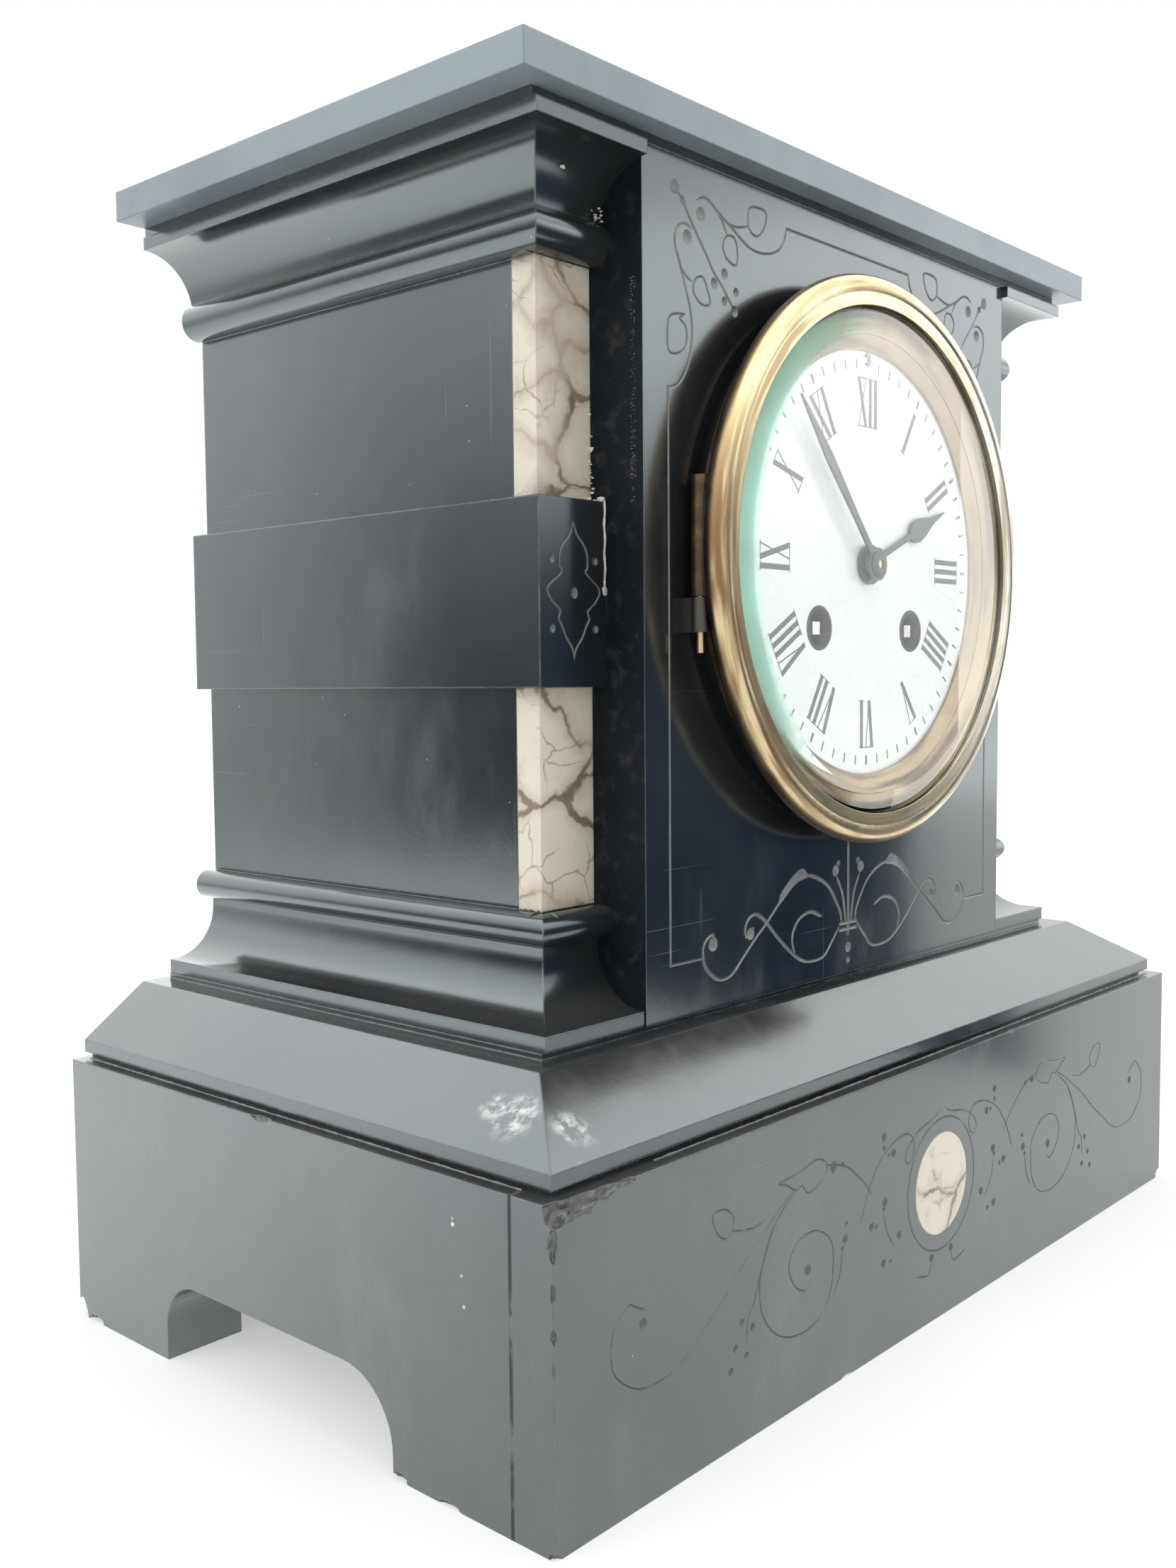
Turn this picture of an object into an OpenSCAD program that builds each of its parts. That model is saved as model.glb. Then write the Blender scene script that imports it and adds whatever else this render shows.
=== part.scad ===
// Slate mantel clock with marble corner strips and a round eight-day striking movement.
// Millimetres. +Z is up, the dial looks along -Y, and the origin is the middle of the base.
// Depths are counted back from the front of the plinth, places in the movement from the
// centre of the dial as seen from the front.

/* [Plinth] */
// Depth of the plinth
plinth_d = 152.5; // [150:0.5:165]
// Height of the plinth
plinth_h = 60.5; // [50:0.5:72]
// Thickness of the front and back slabs
plinth_slab_t = 10; // [7:0.5:12]
// Thickness of the side slabs that end in the feet
plinth_side_t = 19; // [12:0.5:24]
// Length of the front foot
front_foot = 41.2; // [30:0.2:50]
// Length of the back foot
back_foot = 36.8; // [26:0.2:46]
// Height of the arch between the feet
arch_h = 18.3; // [15:0.1:26]
// Radius of the arch at the front foot
arch_front_r = 14; // [4:0.5:15]
// Radius of the arch at the back foot
arch_back_r = 11; // [4:0.5:15]
// Diameter of the round marble inlay
inlay_d = 23.5; // [14:0.5:32]
// Thickness of the marble inlay
inlay_t = 4; // [2:0.5:6]
// Height of the middle of the inlay
inlay_z = 31.3; // [26:0.1:36]

/* [Base slab] */
// Overhang of the plinth past the chamfered slab
base_inset = 3.2; // [2:0.2:6]
// Height of the dark joint under the chamfered slab
joint_h = 1.2; // [0.6:0.2:2]
// How far the joint lies in from the edge of the slab
joint_inset = 1.8; // [1:0.2:5]
// Height of the upright edge of the chamfered slab
base_edge_h = 2.9; // [2:0.1:5]
// Width of the chamfer at the sides
chamfer_side = 15.7; // [10:0.1:18]
// Width of the flat ledge between that chamfer and the small step
ledge_side = 6.5; // [5:0.1:9]
// Width of the chamfer at the front
chamfer_front = 17.5; // [12:0.5:19]
// Rise of the chamfer
chamfer_h = 11.3; // [8:0.1:14]
// Height of the small step on top of the slab
step_h = 1.2; // [0.8:0.1:2]
// How far that step stands out past the lower lip
step_out = 0.2; // [0.1:0.1:1]
// How far the front of that step lies behind the front panel
step_inset = 1.2; // [0.6:0.1:2]

/* [Body of the case] */
// Depth of the plinth behind the back of the body
back_inset = 1.5; // [1:0.5:4]
// Width of a side wall, with its marble strips in front
pier_w = 15.6; // [12:0.1:18]
// Front of the side walls, behind the front of the plinth
pier_front = 39; // [38.4:0.1:41]
// Width of the front panel
panel_w = 150.6; // [144:0.2:156]
// Front of the panel, behind the front of the plinth
panel_front = 25.2; // [24.8:0.1:26]
// Height of the lower moulding
lower_h = 24.1; // [23.5:0.1:26]
// Height of the side walls between the mouldings
wall_h = 128.2; // [122:0.1:134]
// Height of the upper moulding
upper_h = 21.8; // [21.6:0.1:24]
// Thickness of the back panel
back_t = 9; // [8:0.5:11]
// How far the back panel lies in from the back of the walls
back_recess = 4; // [3.8:0.1:5]

/* [Bands and marble strips] */
// Height of the band above the bottom of the side wall
band_z = 44.5; // [36:0.1:50]
// Height of the band
band_h = 37.1; // [28:0.1:44]
// Projection of the band past the side wall
band_out = 4; // [2:0.2:6]
// Width of a marble strip on the side of the case
strip_side = 6.4; // [5:0.2:9]

/* [Mouldings] */
// Projection of the lower lip
lower_lip_out = 13.5; // [13.2:0.1:14]
// Height of the lower lip
lower_lip_h = 3.3; // [2.5:0.1:4]
// Radius of the lower hollow
lower_hollow_r = 12; // [10:0.5:12]
// Radius of the lower bead
lower_bead_r = 3.4; // [2.8:0.1:3.8]
// How far the centre of the lower bead stands out
lower_bead_out = 2.2; // [1:0.1:3]
// Projection of the upper lip
upper_lip_out = 15.4; // [14.8:0.1:16]
// Height of the upper lip
upper_lip_h = 2.8; // [2.4:0.1:4]
// Radius of the upper hollow
upper_hollow_r = 12.8; // [11.6:0.1:13]
// Radius of the upper bead
upper_bead_r = 4.3; // [3.8:0.1:4.5]
// How far the centre of the upper bead stands out
upper_bead_out = 1.3; // [0.6:0.1:2]

/* [Cornice and top] */
// Height of the recessed slab under the top
cornice_h = 2.2; // [1.5:0.1:4]
// Projection of that slab past the side wall
cornice_out = 14.9; // [13:0.1:16]
// Front of that slab, behind the front of the plinth
cornice_front = 25.3; // [24.6:0.1:26]
// Projection of the top slab past the side wall
top_out = 22.3; // [18:0.1:27]
// Front of the top slab, behind the front of the plinth
top_front = 19.9; // [16:0.1:23]
// Thickness of the top slab
top_h = 6.6; // [5:0.1:10]

/* [Dial and bezel] */
// Height of the dial's centre
dial_z = 173.3; // [171:0.1:175]
// Face of the dial, behind the front of the plinth
dial_face = 22; // [21.9:0.1:22.3]
// Thickness of the dial
dial_t = 1.2; // [1:0.1:1.6]
// Radius of the dial
dial_r = 49.3; // [48.9:0.1:49.4]
// Radius of the two winding holes in the dial
wind_hole_r = 5; // [4:0.1:6]
// Radius of the hole for the regulating arbor
regulator_hole_r = 1.6; // [1.4:0.1:2.2]
// Inner radius of the sight ring
sight_r = 48.5; // [48:0.1:48.8]
// Outer radius of the bead of the bezel
bezel_r = 64.5; // [64.2:0.1:64.8]
// Radius of the round of that bead
bezel_bead_r = 2.8; // [2.5:0.1:2.8]
// Radius of the opening in front of the glass
glass_open_r = 57.5; // [57:0.1:57.8]
// Thickness of the glass
glass_t = 2.6; // [2.2:0.1:2.6]
// Width of the bevel round the glass
bevel_w = 5; // [4:0.5:8]
// Outer radius of the flange of the fixed ring
ring_flange_r = 58; // [56:0.1:58.1]
// Inner radius of the tube of the fixed ring
ring_bore_r = 49.6; // [49.6:0.1:49.9]
// Wall of that tube
ring_wall = 1.4; // [1:0.1:1.5]
// Clearance between the fixed ring and the slate
ring_gap = 0.3; // [0.2:0.1:1]
// Radius of a hinge knuckle of the bezel
knuckle_r = 1.85; // [1.7:0.05:1.9]
// Radius of the pin in that hinge
hinge_pin_r = 0.8; // [0.6:0.1:0.9]
// Height of the upper knuckle of the bezel's hinge
upper_knuckle_h = 24.3; // [18:0.1:26]
// Height of the lower knuckle of the bezel's hinge
lower_knuckle_h = 7; // [5:0.5:8]

/* [Hands] */
// Length of the minute hand from its centre to its tip
minute_len = 46.6; // [42:0.1:47]
// Length of the hour hand from its centre to its tip
hour_len = 37; // [30:0.5:38]
// Width of the leaf of the hour hand
leaf_w = 5.4; // [5:0.2:10]
// Width of the hour hand's stem
hour_stem_w = 1.3; // [1:0.1:2]
// Width of the minute hand where it swells
minute_swell_w = 2.6; // [2:0.1:3]
// Width of the minute hand's stem
minute_stem_w = 1.6; // [1.2:0.1:2.4]
// Thickness of both hands
hand_t = 0.6; // [0.4:0.1:0.7]
// Angle of the minute hand, clockwise from twelve
minute_at = 318; // [0:1:360]
// Angle of the hour hand, clockwise from twelve
hour_at = 67; // [0:0.5:360]

/* [Movement] */
// Radius of both plates
plate_r = 45; // [44.5:0.1:45.2]
// Thickness of both plates
plate_t = 2; // [1.6:0.1:2.2]
// Clear space between the plates
plate_gap = 24; // [24:0.1:25]
// Distance of each winding arbor from the vertical through the centre
wind_x = 19.8; // [19.7:0.05:19.9]
// Distance of the winding arbors below the centre
wind_drop = 15; // [14.9:0.05:15.1]
// Radius of a winding arbor
wind_arbor_r = 2.2; // [1.8:0.1:2.4]
// Width of a winding square
wind_square = 2.9; // [2.4:0.1:3]
// Radius of the drum of a barrel
drum_r = 16.6; // [15:0.1:16.7]
// Length of the drum of a barrel
drum_len = 12.9; // [10:0.1:12.9]
// Radius of the centre arbor
centre_arbor_r = 1; // [0.8:0.05:1]
// Radius of a train arbor between its wheel and its pinion
train_arbor_r = 0.9; // [0.8:0.05:1]
// Radius of a pivot in the plates
pivot_r = 0.45; // [0.35:0.05:0.5]
// Radial clearance of everything that turns on or in something
run_gap = 0.05; // [0.03:0.01:0.08]
// Thickness of a wheel
wheel_t = 1; // [0.8:0.1:1.1]
// Length of a pinion
pinion_t = 2.4; // [1.8:0.1:2.5]
// Radius of the vanes of the fly
fly_r = 4.2; // [3:0.1:4.2]

/* [Pendulum and bell] */
// Height of the pendulum's pivot above the centre of the dial
swing_z = 35; // [34.8:0.1:35.2]
// Length from the pivot to the middle of the bob
pendulum_len = 105; // [100:0.5:106]
// Radius of the bob
bob_r = 15; // [12:0.5:16]
// Thickness of the bob
bob_t = 8; // [5:0.5:8.5]
// Radius of the pendulum rod
rod_r = 1.1; // [0.9:0.1:1.1]
// Radius of the bell at its rim
bell_r = 33; // [30:0.5:33]
// Depth of the bell
bell_d = 16; // [12:0.5:18]
// Thickness of the bell's wall
bell_t = 1.6; // [1.2:0.1:2.4]

/* [Back] */
// Radius of the back door
back_door_r = 53; // [51:0.5:53]
// Thickness of the back door
back_door_t = 1.5; // [1:0.1:1.6]
// Outer radius of the back ring
back_ring_r = 55; // [54:0.1:55.4]
// Radius of the opening in the back panel
back_open_r = 50; // [49.6:0.1:52]

/* [Hidden] */
$fn = 96;
// Length by which a cut runs past the surface it opens
eps = 1;

// Heights of the layers of the case
slab_z = plinth_h + joint_h;
chamfer_z = slab_z + base_edge_h;
flat_z = chamfer_z + chamfer_h;
floor_z = flat_z + step_h;
wall_z = floor_z + lower_h;
upper_z = wall_z + wall_h;
cornice_z = upper_z + upper_h;
top_z = cornice_z + cornice_h;

// Plan of the case
panel_half = panel_w / 2;
body_half_w = panel_half + pier_w;
step_half = body_half_w + lower_lip_out + step_out;
slab_half = step_half + ledge_side + chamfer_side;
plinth_half = slab_half + base_inset;
plinth_w = 2 * plinth_half;
cornice_half_w = body_half_w + cornice_out;
top_half_w = body_half_w + top_out;
body_back = plinth_d - back_inset;
panel_back = pier_front + 0.6;
strip_back = pier_front + strip_side;
step_front = panel_front + step_inset;
back_face = body_back - back_recess;

// Fixed ring and plates
dial_back = dial_face + dial_t;
ring_tube_r = ring_bore_r + ring_wall;
ring_flange_t = 1.6;
ring_shelf_t = 2.4;
ring_shelf_r = plate_r - 1.5;
plate_front = panel_front + 8.8;
plate_in = plate_front + plate_t;
back_plate_in = plate_in + plate_gap;
back_plate_out = back_plate_in + plate_t;

// Bezel
glass_back = dial_face - 4.4;
glass_front = glass_back - glass_t;
bevel_drop = 1.1;
edge_y = glass_front + bevel_drop;
skirt_in = ring_flange_r + 0.6;
skirt_out = skirt_in + 1.8;
skirt_back = panel_front - ring_flange_t - 0.6;
bead_at = [bezel_r - bezel_bead_r, dial_face - 4.7];
sight_wall = 0.5;
sight_back = dial_face - 0.3;
hinge_x = -62.2;
hinge_y = panel_front - 4;
hinge_seam = dial_z - 9.7;
knuckle_gap = 0.2;
pin_tail = 4.2;

// Hands, from the dial forward
hour_pipe_r = 2.4;
cannon_pipe_r = 1.7;
bore_r = centre_arbor_r + run_gap;
dial_hole_r = hour_pipe_r + 0.8;
hour_hand_back = dial_face - 0.6;
hour_hand_front = hour_hand_back - hand_t;
minute_hand_back = hour_hand_front - 1.3;
minute_hand_front = minute_hand_back - hand_t;
nut_front = glass_back + 0.5;
hub_r = 4.6;

// Motion work between the dial and the front plate
cannon_teeth = 12;
minute_teeth = 36;
minute_leaves = 10;
hour_teeth = 40;
motion_module = 0.5;
motion_dist = motion_module * (cannon_teeth + minute_teeth) / 2;
hour_module = 2 * motion_dist / (minute_leaves + hour_teeth);
minute_y = plate_front - 2.8;
hour_y = plate_front - 5.6;

// Trains
great_teeth = 84;
great_leaves = 14;
great_module = 0.4333;
second_teeth = 77;
second_module = 0.44;
centre_teeth = 84;
centre_module = 0.4;
third_teeth = 77;
third_module = 0.32;
run_leaves = 7;
escape_teeth = 42;
escape_r = 9;
lift_teeth = 60;
lift_leaves = 8;
lift_module = 0.3;
pin_module = 0.2668;
lock_teeth = 56;
lock_module = 0.25;
warn_teeth = 48;
warn_module = 0.25;

// Centre distance of a wheel and the pinion it drives
function reach(teeth, leaves, module_size) = module_size * (teeth + leaves) / 2;
// The point at distance ra from a and rb from b, on the side given by the sign
function meet(a, ra, b, rb, side) =
    let (d = norm(b - a), u = (b - a) / d, along = (ra * ra - rb * rb + d * d) / (2 * d))
    a + along * u + side * sqrt(ra * ra - along * along) * [-u[1], u[0]];
function toward(a, angle, dist) = a + dist * [cos(angle), sin(angle)];
function bearing(a, b) = atan2(b[1] - a[1], b[0] - a[0]);
// Phase of a driven gear whose gap faces a tooth of the first gear
function mesh(a, first_teeth, first_phase, b, other_teeth) =
    let (line = bearing(a, b))
    line + 180 - (180 - (line - first_phase) * first_teeth) / other_teeth;

// Places of the arbors
centre_at = [0, 0];
time_at = [wind_x, -wind_drop];
strike_at = [-wind_x, -wind_drop];
great_reach = reach(great_teeth, great_leaves, great_module);
time_second_at = meet(centre_at, reach(second_teeth, run_leaves, second_module),
    time_at, great_reach, 1);
escape_at = [0, 21];
third_at = meet(centre_at, reach(centre_teeth, run_leaves, centre_module),
    escape_at, reach(third_teeth, run_leaves, third_module), 1);
strike_second_at = toward(strike_at, 124.1, great_reach);
pin_at = toward(strike_second_at, 60.7, reach(lift_teeth, lift_leaves, lift_module));
lock_at = toward(pin_at, 74, reach(lift_teeth, lift_leaves, pin_module));
warn_at = toward(lock_at, 60, reach(lock_teeth, lift_leaves, lock_module));
fly_at = toward(warn_at, 29.5, reach(warn_teeth, run_leaves, warn_module));
swing_at = [0, swing_z];
hammer_at = [-38, 13.5];
minute_stud_at = [0, motion_dist];
regulator_at = [0, 46.8];

// Phases of the gears
time_second_phase = mesh(time_at, great_teeth, 0, time_second_at, great_leaves);
centre_phase = mesh(time_second_at, second_teeth, time_second_phase, centre_at, run_leaves);
third_phase = mesh(centre_at, centre_teeth, centre_phase, third_at, run_leaves);
escape_phase = mesh(third_at, third_teeth, third_phase, escape_at, run_leaves);
strike_second_phase = mesh(strike_at, great_teeth, 0, strike_second_at, great_leaves);
pin_phase = mesh(strike_second_at, lift_teeth, strike_second_phase, pin_at, lift_leaves);
lock_phase = mesh(pin_at, lift_teeth, pin_phase, lock_at, lift_leaves);
warn_phase = mesh(lock_at, lock_teeth, lock_phase, warn_at, lift_leaves);
fly_phase = mesh(warn_at, warn_teeth, warn_phase, fly_at, run_leaves);
minute_phase = mesh(centre_at, cannon_teeth, 0, minute_stud_at, minute_teeth);
hour_phase = mesh(minute_stud_at, minute_leaves, minute_phase, centre_at, hour_teeth);

// Middle depths of the wheels inside the plates
drum_y = plate_in + 1.5;
great_y = drum_y + drum_len + 0.8;
great_t = 1.6;
second_y = plate_in + 18.5;
centre_y = plate_in + 21.3;
third_y = plate_in + 6.5;
escape_y = plate_in + 12;
pin_y = plate_in + 10;
lock_y = plate_in + 15.5;
warn_y = plate_in + 20;
lift_pin_at = 6.4;
end_play = 0.3;

// Behind the back plate
crutch_y = back_plate_out + 2;
crutch_t = 1.2;
crutch_len = 27;
rod_y = back_plate_out + 8;
clamp_h = 5;
spring_t = 0.2;
spring_w = 4;
cock_z = swing_z + 7;
block_z = swing_z + 1.5;
block_h = 4;
rack_module = 0.5;
rack_leaves = 8;
rack_x = rack_module * rack_leaves / 2;
rack_y = rod_y + 3.6;
bell_at = [12, -8];
bell_y = back_plate_out + 18;
bell_ball_r = (bell_r * bell_r + bell_d * bell_d) / (2 * bell_d);
bell_post_r = 2.5;
bell_stud_r = 2;

// Straps, back ring and back door
strap_in = 47.2;
strap_t = 1.6;
strap_w = 9;
strap_end = back_face - 3;
strap_screw_x = 44;
screw_r = 1.2;
screw_head_r = 2.2;
back_ring_t = 1.2;
back_ring_in = 41.5;
door_y = back_face + back_ring_t + 0.3;
door_hinge_x = -(back_ring_r + 1.5);
door_hinge_y = door_y + 0.8;
door_knuckle_r = 1.4;
door_pin_r = 0.6;
door_knuckle_h = 7;

pillar_r = 2.5;
pillar_tip_r = 1.4;
pillar_angles = [45, 150, 193, 270, 347];
dial_foot_angles = [45, 165, 285];
dial_foot_ring = 37.5;
dial_foot_r = 1.2;
pivots_at = [time_second_at, third_at, escape_at, strike_second_at, pin_at, lock_at, warn_at,
    fly_at];

// Frames and colours
module from_front() { translate([0, -plinth_d / 2, 0]) children(); }
module slate() { color("#2d3335") from_front() children(); }
module marble() { color("#d9cdb8") from_front() children(); }
module brass() { color("#c3a15a") from_front() children(); }
module steel() { color("#596066") from_front() children(); }
module white() { color("#f4f4ee") from_front() children(); }
// A sketch seen from the front, from depth y0 back to depth y1, about the dial's centre
module span_y(y0, y1) {
    translate([0, y1, dial_z]) rotate([90, 0, 0]) linear_extrude(y1 - y0) children();
}
module bar(at, r, y0, y1) { span_y(y0, y1) translate(at) circle(r); }
// A turned shape about a line along Y, drawn as radius and depth
module turned(at = [0, 0]) {
    translate([at[0], 0, dial_z + at[1]]) rotate([-90, 0, 0]) rotate_extrude() children();
}
module mirrored_x() { mirror([1, 0, 0]) children(); }

// Plinth
module arch_outline() {
    y1 = plinth_d - back_foot;
    difference() {
        translate([front_foot, -eps]) square([y1 - front_foot, arch_h + eps]);
        translate([front_foot, arch_h - arch_front_r]) square(arch_front_r);
        translate([y1 - arch_back_r, arch_h - arch_back_r]) square(arch_back_r);
    }
    translate([front_foot + arch_front_r, arch_h - arch_front_r]) circle(arch_front_r);
    translate([y1 - arch_back_r, arch_h - arch_back_r]) circle(arch_back_r);
}
module plinth_side() {
    difference() {
        translate([-plinth_half, plinth_slab_t, 0])
            cube([plinth_side_t, plinth_d - plinth_slab_t, plinth_h]);
        translate([-plinth_half - eps, 0, 0]) rotate([90, 0, 90])
            linear_extrude(plinth_side_t + 2 * eps) arch_outline();
    }
}
module plinth_sides() {
    slate() {
        plinth_side();
        mirrored_x() plinth_side();
    }
}
module plinth_front() {
    slate() difference() {
        translate([-plinth_half, 0, 0]) cube([plinth_w, plinth_slab_t, plinth_h]);
        translate([0, inlay_t, inlay_z]) rotate([90, 0, 0]) cylinder(d = inlay_d, h = inlay_t + eps);
    }
}
module plinth_back() {
    half = plinth_half - plinth_side_t;
    slate() translate([-half, plinth_d - plinth_slab_t, 0]) cube([2 * half, plinth_slab_t, plinth_h]);
}
module plinth_inlay() {
    marble() translate([0, inlay_t, inlay_z]) rotate([90, 0, 0]) cylinder(d = inlay_d, h = inlay_t);
}

// Chamfered slab: one outline seen from the front, crossed with one seen from the side
module slab_front_outline() {
    right = [[slab_half - joint_inset, plinth_h], [slab_half - joint_inset, slab_z],
        [slab_half, slab_z], [slab_half, chamfer_z], [slab_half - chamfer_side, flat_z],
        [step_half, flat_z], [step_half, floor_z]];
    left = [for (i = [len(right) - 1:-1:0]) [-right[i][0], right[i][1]]];
    polygon(concat(right, left));
}
module slab_side_outline() {
    joint_y = base_inset + joint_inset;
    polygon([[joint_y, plinth_h], [joint_y, slab_z], [base_inset, slab_z], [base_inset, chamfer_z],
        [base_inset + chamfer_front, flat_z], [step_front, flat_z], [step_front, floor_z],
        [body_back, floor_z], [body_back, flat_z], [plinth_d, flat_z], [plinth_d, plinth_h]]);
}
module base_slab() {
    slate() intersection() {
        translate([0, plinth_d + eps, 0]) rotate([90, 0, 0])
            linear_extrude(plinth_d + 2 * eps) slab_front_outline();
        translate([-plinth_half, 0, 0]) rotate([90, 0, 90])
            linear_extrude(plinth_w) slab_side_outline();
    }
}

// A moulded block over one side wall: its profile runs along the side and turns at the front
module moulded_block() {
    intersection() {
        translate([-body_half_w, body_back, 0]) rotate([90, 0, 0])
            linear_extrude(body_back) mirror([1, 0]) difference() {
                children();
                translate([-pier_w - plinth_w, 0]) square([plinth_w, 2 * dial_z]);
            }
        translate([-plinth_half, pier_front, 0]) rotate([90, 0, 90])
            linear_extrude(plinth_half - panel_half) mirror([1, 0]) children();
    }
}
module lower_profile() {
    inner = pier_front - body_back;
    lip_top = floor_z + lower_lip_h;
    bead_z = wall_z - lower_bead_r;
    translate([inner, floor_z]) square([lower_lip_out - inner, lower_lip_h]);
    difference() {
        translate([inner, lip_top]) square([1 + lower_hollow_r - inner, lower_hollow_r]);
        translate([1 + lower_hollow_r, lip_top + lower_hollow_r]) circle(lower_hollow_r);
    }
    translate([inner, lip_top]) square([1 - inner, bead_z - lip_top]);
    translate([inner, lip_top]) square([-inner, wall_z - lip_top]);
    translate([lower_bead_out, bead_z]) circle(lower_bead_r);
    translate([0, bead_z - 2]) square([lower_bead_out, 4]);
}
module upper_profile() {
    inner = pier_front - body_back;
    lip_z = cornice_z - upper_lip_h;
    hollow_z = lip_z - upper_hollow_r;
    fillet_out = upper_lip_out - upper_hollow_r;
    bead_z = upper_z + upper_bead_r;
    translate([inner, lip_z]) square([upper_lip_out - inner, upper_lip_h]);
    difference() {
        translate([inner, hollow_z]) square([upper_lip_out - inner, upper_hollow_r]);
        translate([upper_lip_out, hollow_z]) circle(upper_hollow_r);
    }
    translate([inner, bead_z]) square([fillet_out - inner, lip_z - bead_z]);
    translate([inner, upper_z]) square([-inner, lip_z - upper_z]);
    translate([upper_bead_out, bead_z]) circle(upper_bead_r);
}
module lower_moulding_left() { slate() moulded_block() lower_profile(); }
module lower_moulding_right() { slate() mirrored_x() moulded_block() lower_profile(); }
module upper_moulding_left() { slate() moulded_block() upper_profile(); }
module upper_moulding_right() { slate() mirrored_x() moulded_block() upper_profile(); }

// Side walls, bands and marble corner strips
module side_wall() {
    translate([-body_half_w, strip_back, wall_z]) cube([pier_w, body_back - strip_back, wall_h]);
}
module side_wall_left() { slate() side_wall(); }
module side_wall_right() { slate() mirrored_x() side_wall(); }
module band() {
    side = -body_half_w - band_out;
    front = pier_front - band_out;
    z = wall_z + band_z;
    translate([side, front, z]) cube([band_out, body_back - front, band_h]);
    translate([side, front, z]) cube([pier_w + band_out, strip_back - front, band_h]);
}
module bands() {
    slate() {
        band();
        mirrored_x() band();
    }
}
module marble_strips() {
    above = band_z + band_h;
    marble() for (side = [0, 1]) mirror([side, 0, 0]) {
        translate([-body_half_w, pier_front, wall_z]) cube([pier_w, strip_side, band_z]);
        translate([-body_half_w, pier_front, wall_z + above])
            cube([pier_w, strip_side, wall_h - above]);
    }
}

// Cornice, top, front and back panels
module cornice_slab() {
    slate() translate([-cornice_half_w, cornice_front, cornice_z])
        cube([2 * cornice_half_w, body_back - cornice_front, cornice_h]);
}
module top_slab() {
    slate() translate([-top_half_w, top_front, top_z])
        cube([2 * top_half_w, body_back - top_front, top_h]);
}
module front_panel() {
    slate() difference() {
        translate([-panel_half, panel_front, floor_z])
            cube([panel_w, panel_back - panel_front, cornice_z - floor_z]);
        bar([0, 0], ring_tube_r + ring_gap, panel_front - eps, panel_back + eps);
    }
}
module back_panel() {
    slate() difference() {
        translate([-panel_half, back_face - back_t, floor_z])
            cube([panel_w, back_t, cornice_z - floor_z]);
        bar([0, 0], back_open_r, back_face - back_t - eps, back_face + eps);
    }
}

// Fixed ring with the lower knuckle of the hinge
module mount_ring() {
    knuckle_z = hinge_seam - lower_knuckle_h;
    leaf_in = -55;
    brass() difference() {
        union() {
            turned() polygon([[ring_bore_r, dial_face], [ring_tube_r, dial_face],
                [ring_tube_r, panel_front - ring_flange_t],
                [ring_flange_r, panel_front - ring_flange_t], [ring_flange_r, panel_front],
                [ring_tube_r, panel_front], [ring_tube_r, plate_front],
                [ring_shelf_r, plate_front], [ring_shelf_r, plate_front - ring_shelf_t],
                [ring_bore_r, plate_front - ring_shelf_t]]);
            translate([hinge_x, hinge_y, knuckle_z]) cylinder(r = knuckle_r, h = lower_knuckle_h);
            translate([hinge_x - 1, hinge_y, knuckle_z])
                cube([2, panel_front - hinge_y, lower_knuckle_h]);
            translate([hinge_x - 1, panel_front - ring_flange_t, knuckle_z])
                cube([leaf_in - hinge_x + 1, ring_flange_t, lower_knuckle_h]);
        }
        translate([hinge_x, hinge_y, knuckle_z - eps])
            cylinder(r = hinge_pin_r, h = lower_knuckle_h + 2 * eps);
        bar(regulator_at, centre_arbor_r + run_gap, panel_front, plate_front + eps);
    }
}
module hinge_pins() {
    foot = hinge_seam - lower_knuckle_h - pin_tail;
    steel() {
        translate([hinge_x, hinge_y, foot])
            cylinder(r = hinge_pin_r, h = hinge_seam + knuckle_gap + upper_knuckle_h - foot);
        translate([door_hinge_x, door_hinge_y, dial_z - door_knuckle_h])
            cylinder(r = door_pin_r, h = 2 * door_knuckle_h);
    }
}

// Opening bezel with its glass and sight ring
module bezel_frame() {
    upper_knuckle_z = hinge_seam + knuckle_gap;
    brass() difference() {
        union() {
            turned() {
                translate(bead_at) circle(bezel_bead_r);
                polygon([[glass_open_r, glass_front], [bead_at[0], glass_front - 0.2],
                    [bead_at[0], bead_at[1] + 1.5], [skirt_out, bead_at[1] + 1.5],
                    [skirt_out, skirt_back], [skirt_in, skirt_back], [skirt_in, edge_y],
                    [glass_open_r, edge_y]]);
            }
            translate([hinge_x, hinge_y, upper_knuckle_z])
                cylinder(r = knuckle_r, h = upper_knuckle_h);
            translate([hinge_x, hinge_y - knuckle_r, upper_knuckle_z])
                cube([-hinge_x - skirt_in - 0.4, knuckle_r, upper_knuckle_h]);
        }
        translate([hinge_x, hinge_y, hinge_seam - lower_knuckle_h - 0.3])
            cylinder(r = knuckle_r + 0.3, h = lower_knuckle_h + 0.3 + knuckle_gap);
        translate([hinge_x, hinge_y, upper_knuckle_z - eps])
            cylinder(r = hinge_pin_r + run_gap, h = upper_knuckle_h + 2 * eps);
    }
}
module bezel_glass() {
    flat_r = glass_open_r - bevel_w;
    color([0.75, 0.9, 0.85, 0.35]) from_front() turned()
        polygon([[0, glass_front], [flat_r, glass_front], [glass_open_r, edge_y],
            [skirt_in, edge_y], [skirt_in, glass_back], [0, glass_back]]);
}
module sight_ring() {
    brass() turned() polygon([[glass_open_r - 1.2, glass_back], [skirt_in, glass_back],
        [skirt_in, glass_back + 0.8], [glass_open_r - 1.4, glass_back + 0.8],
        [sight_r, sight_back], [sight_r, sight_back - sight_wall]]);
}

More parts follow.
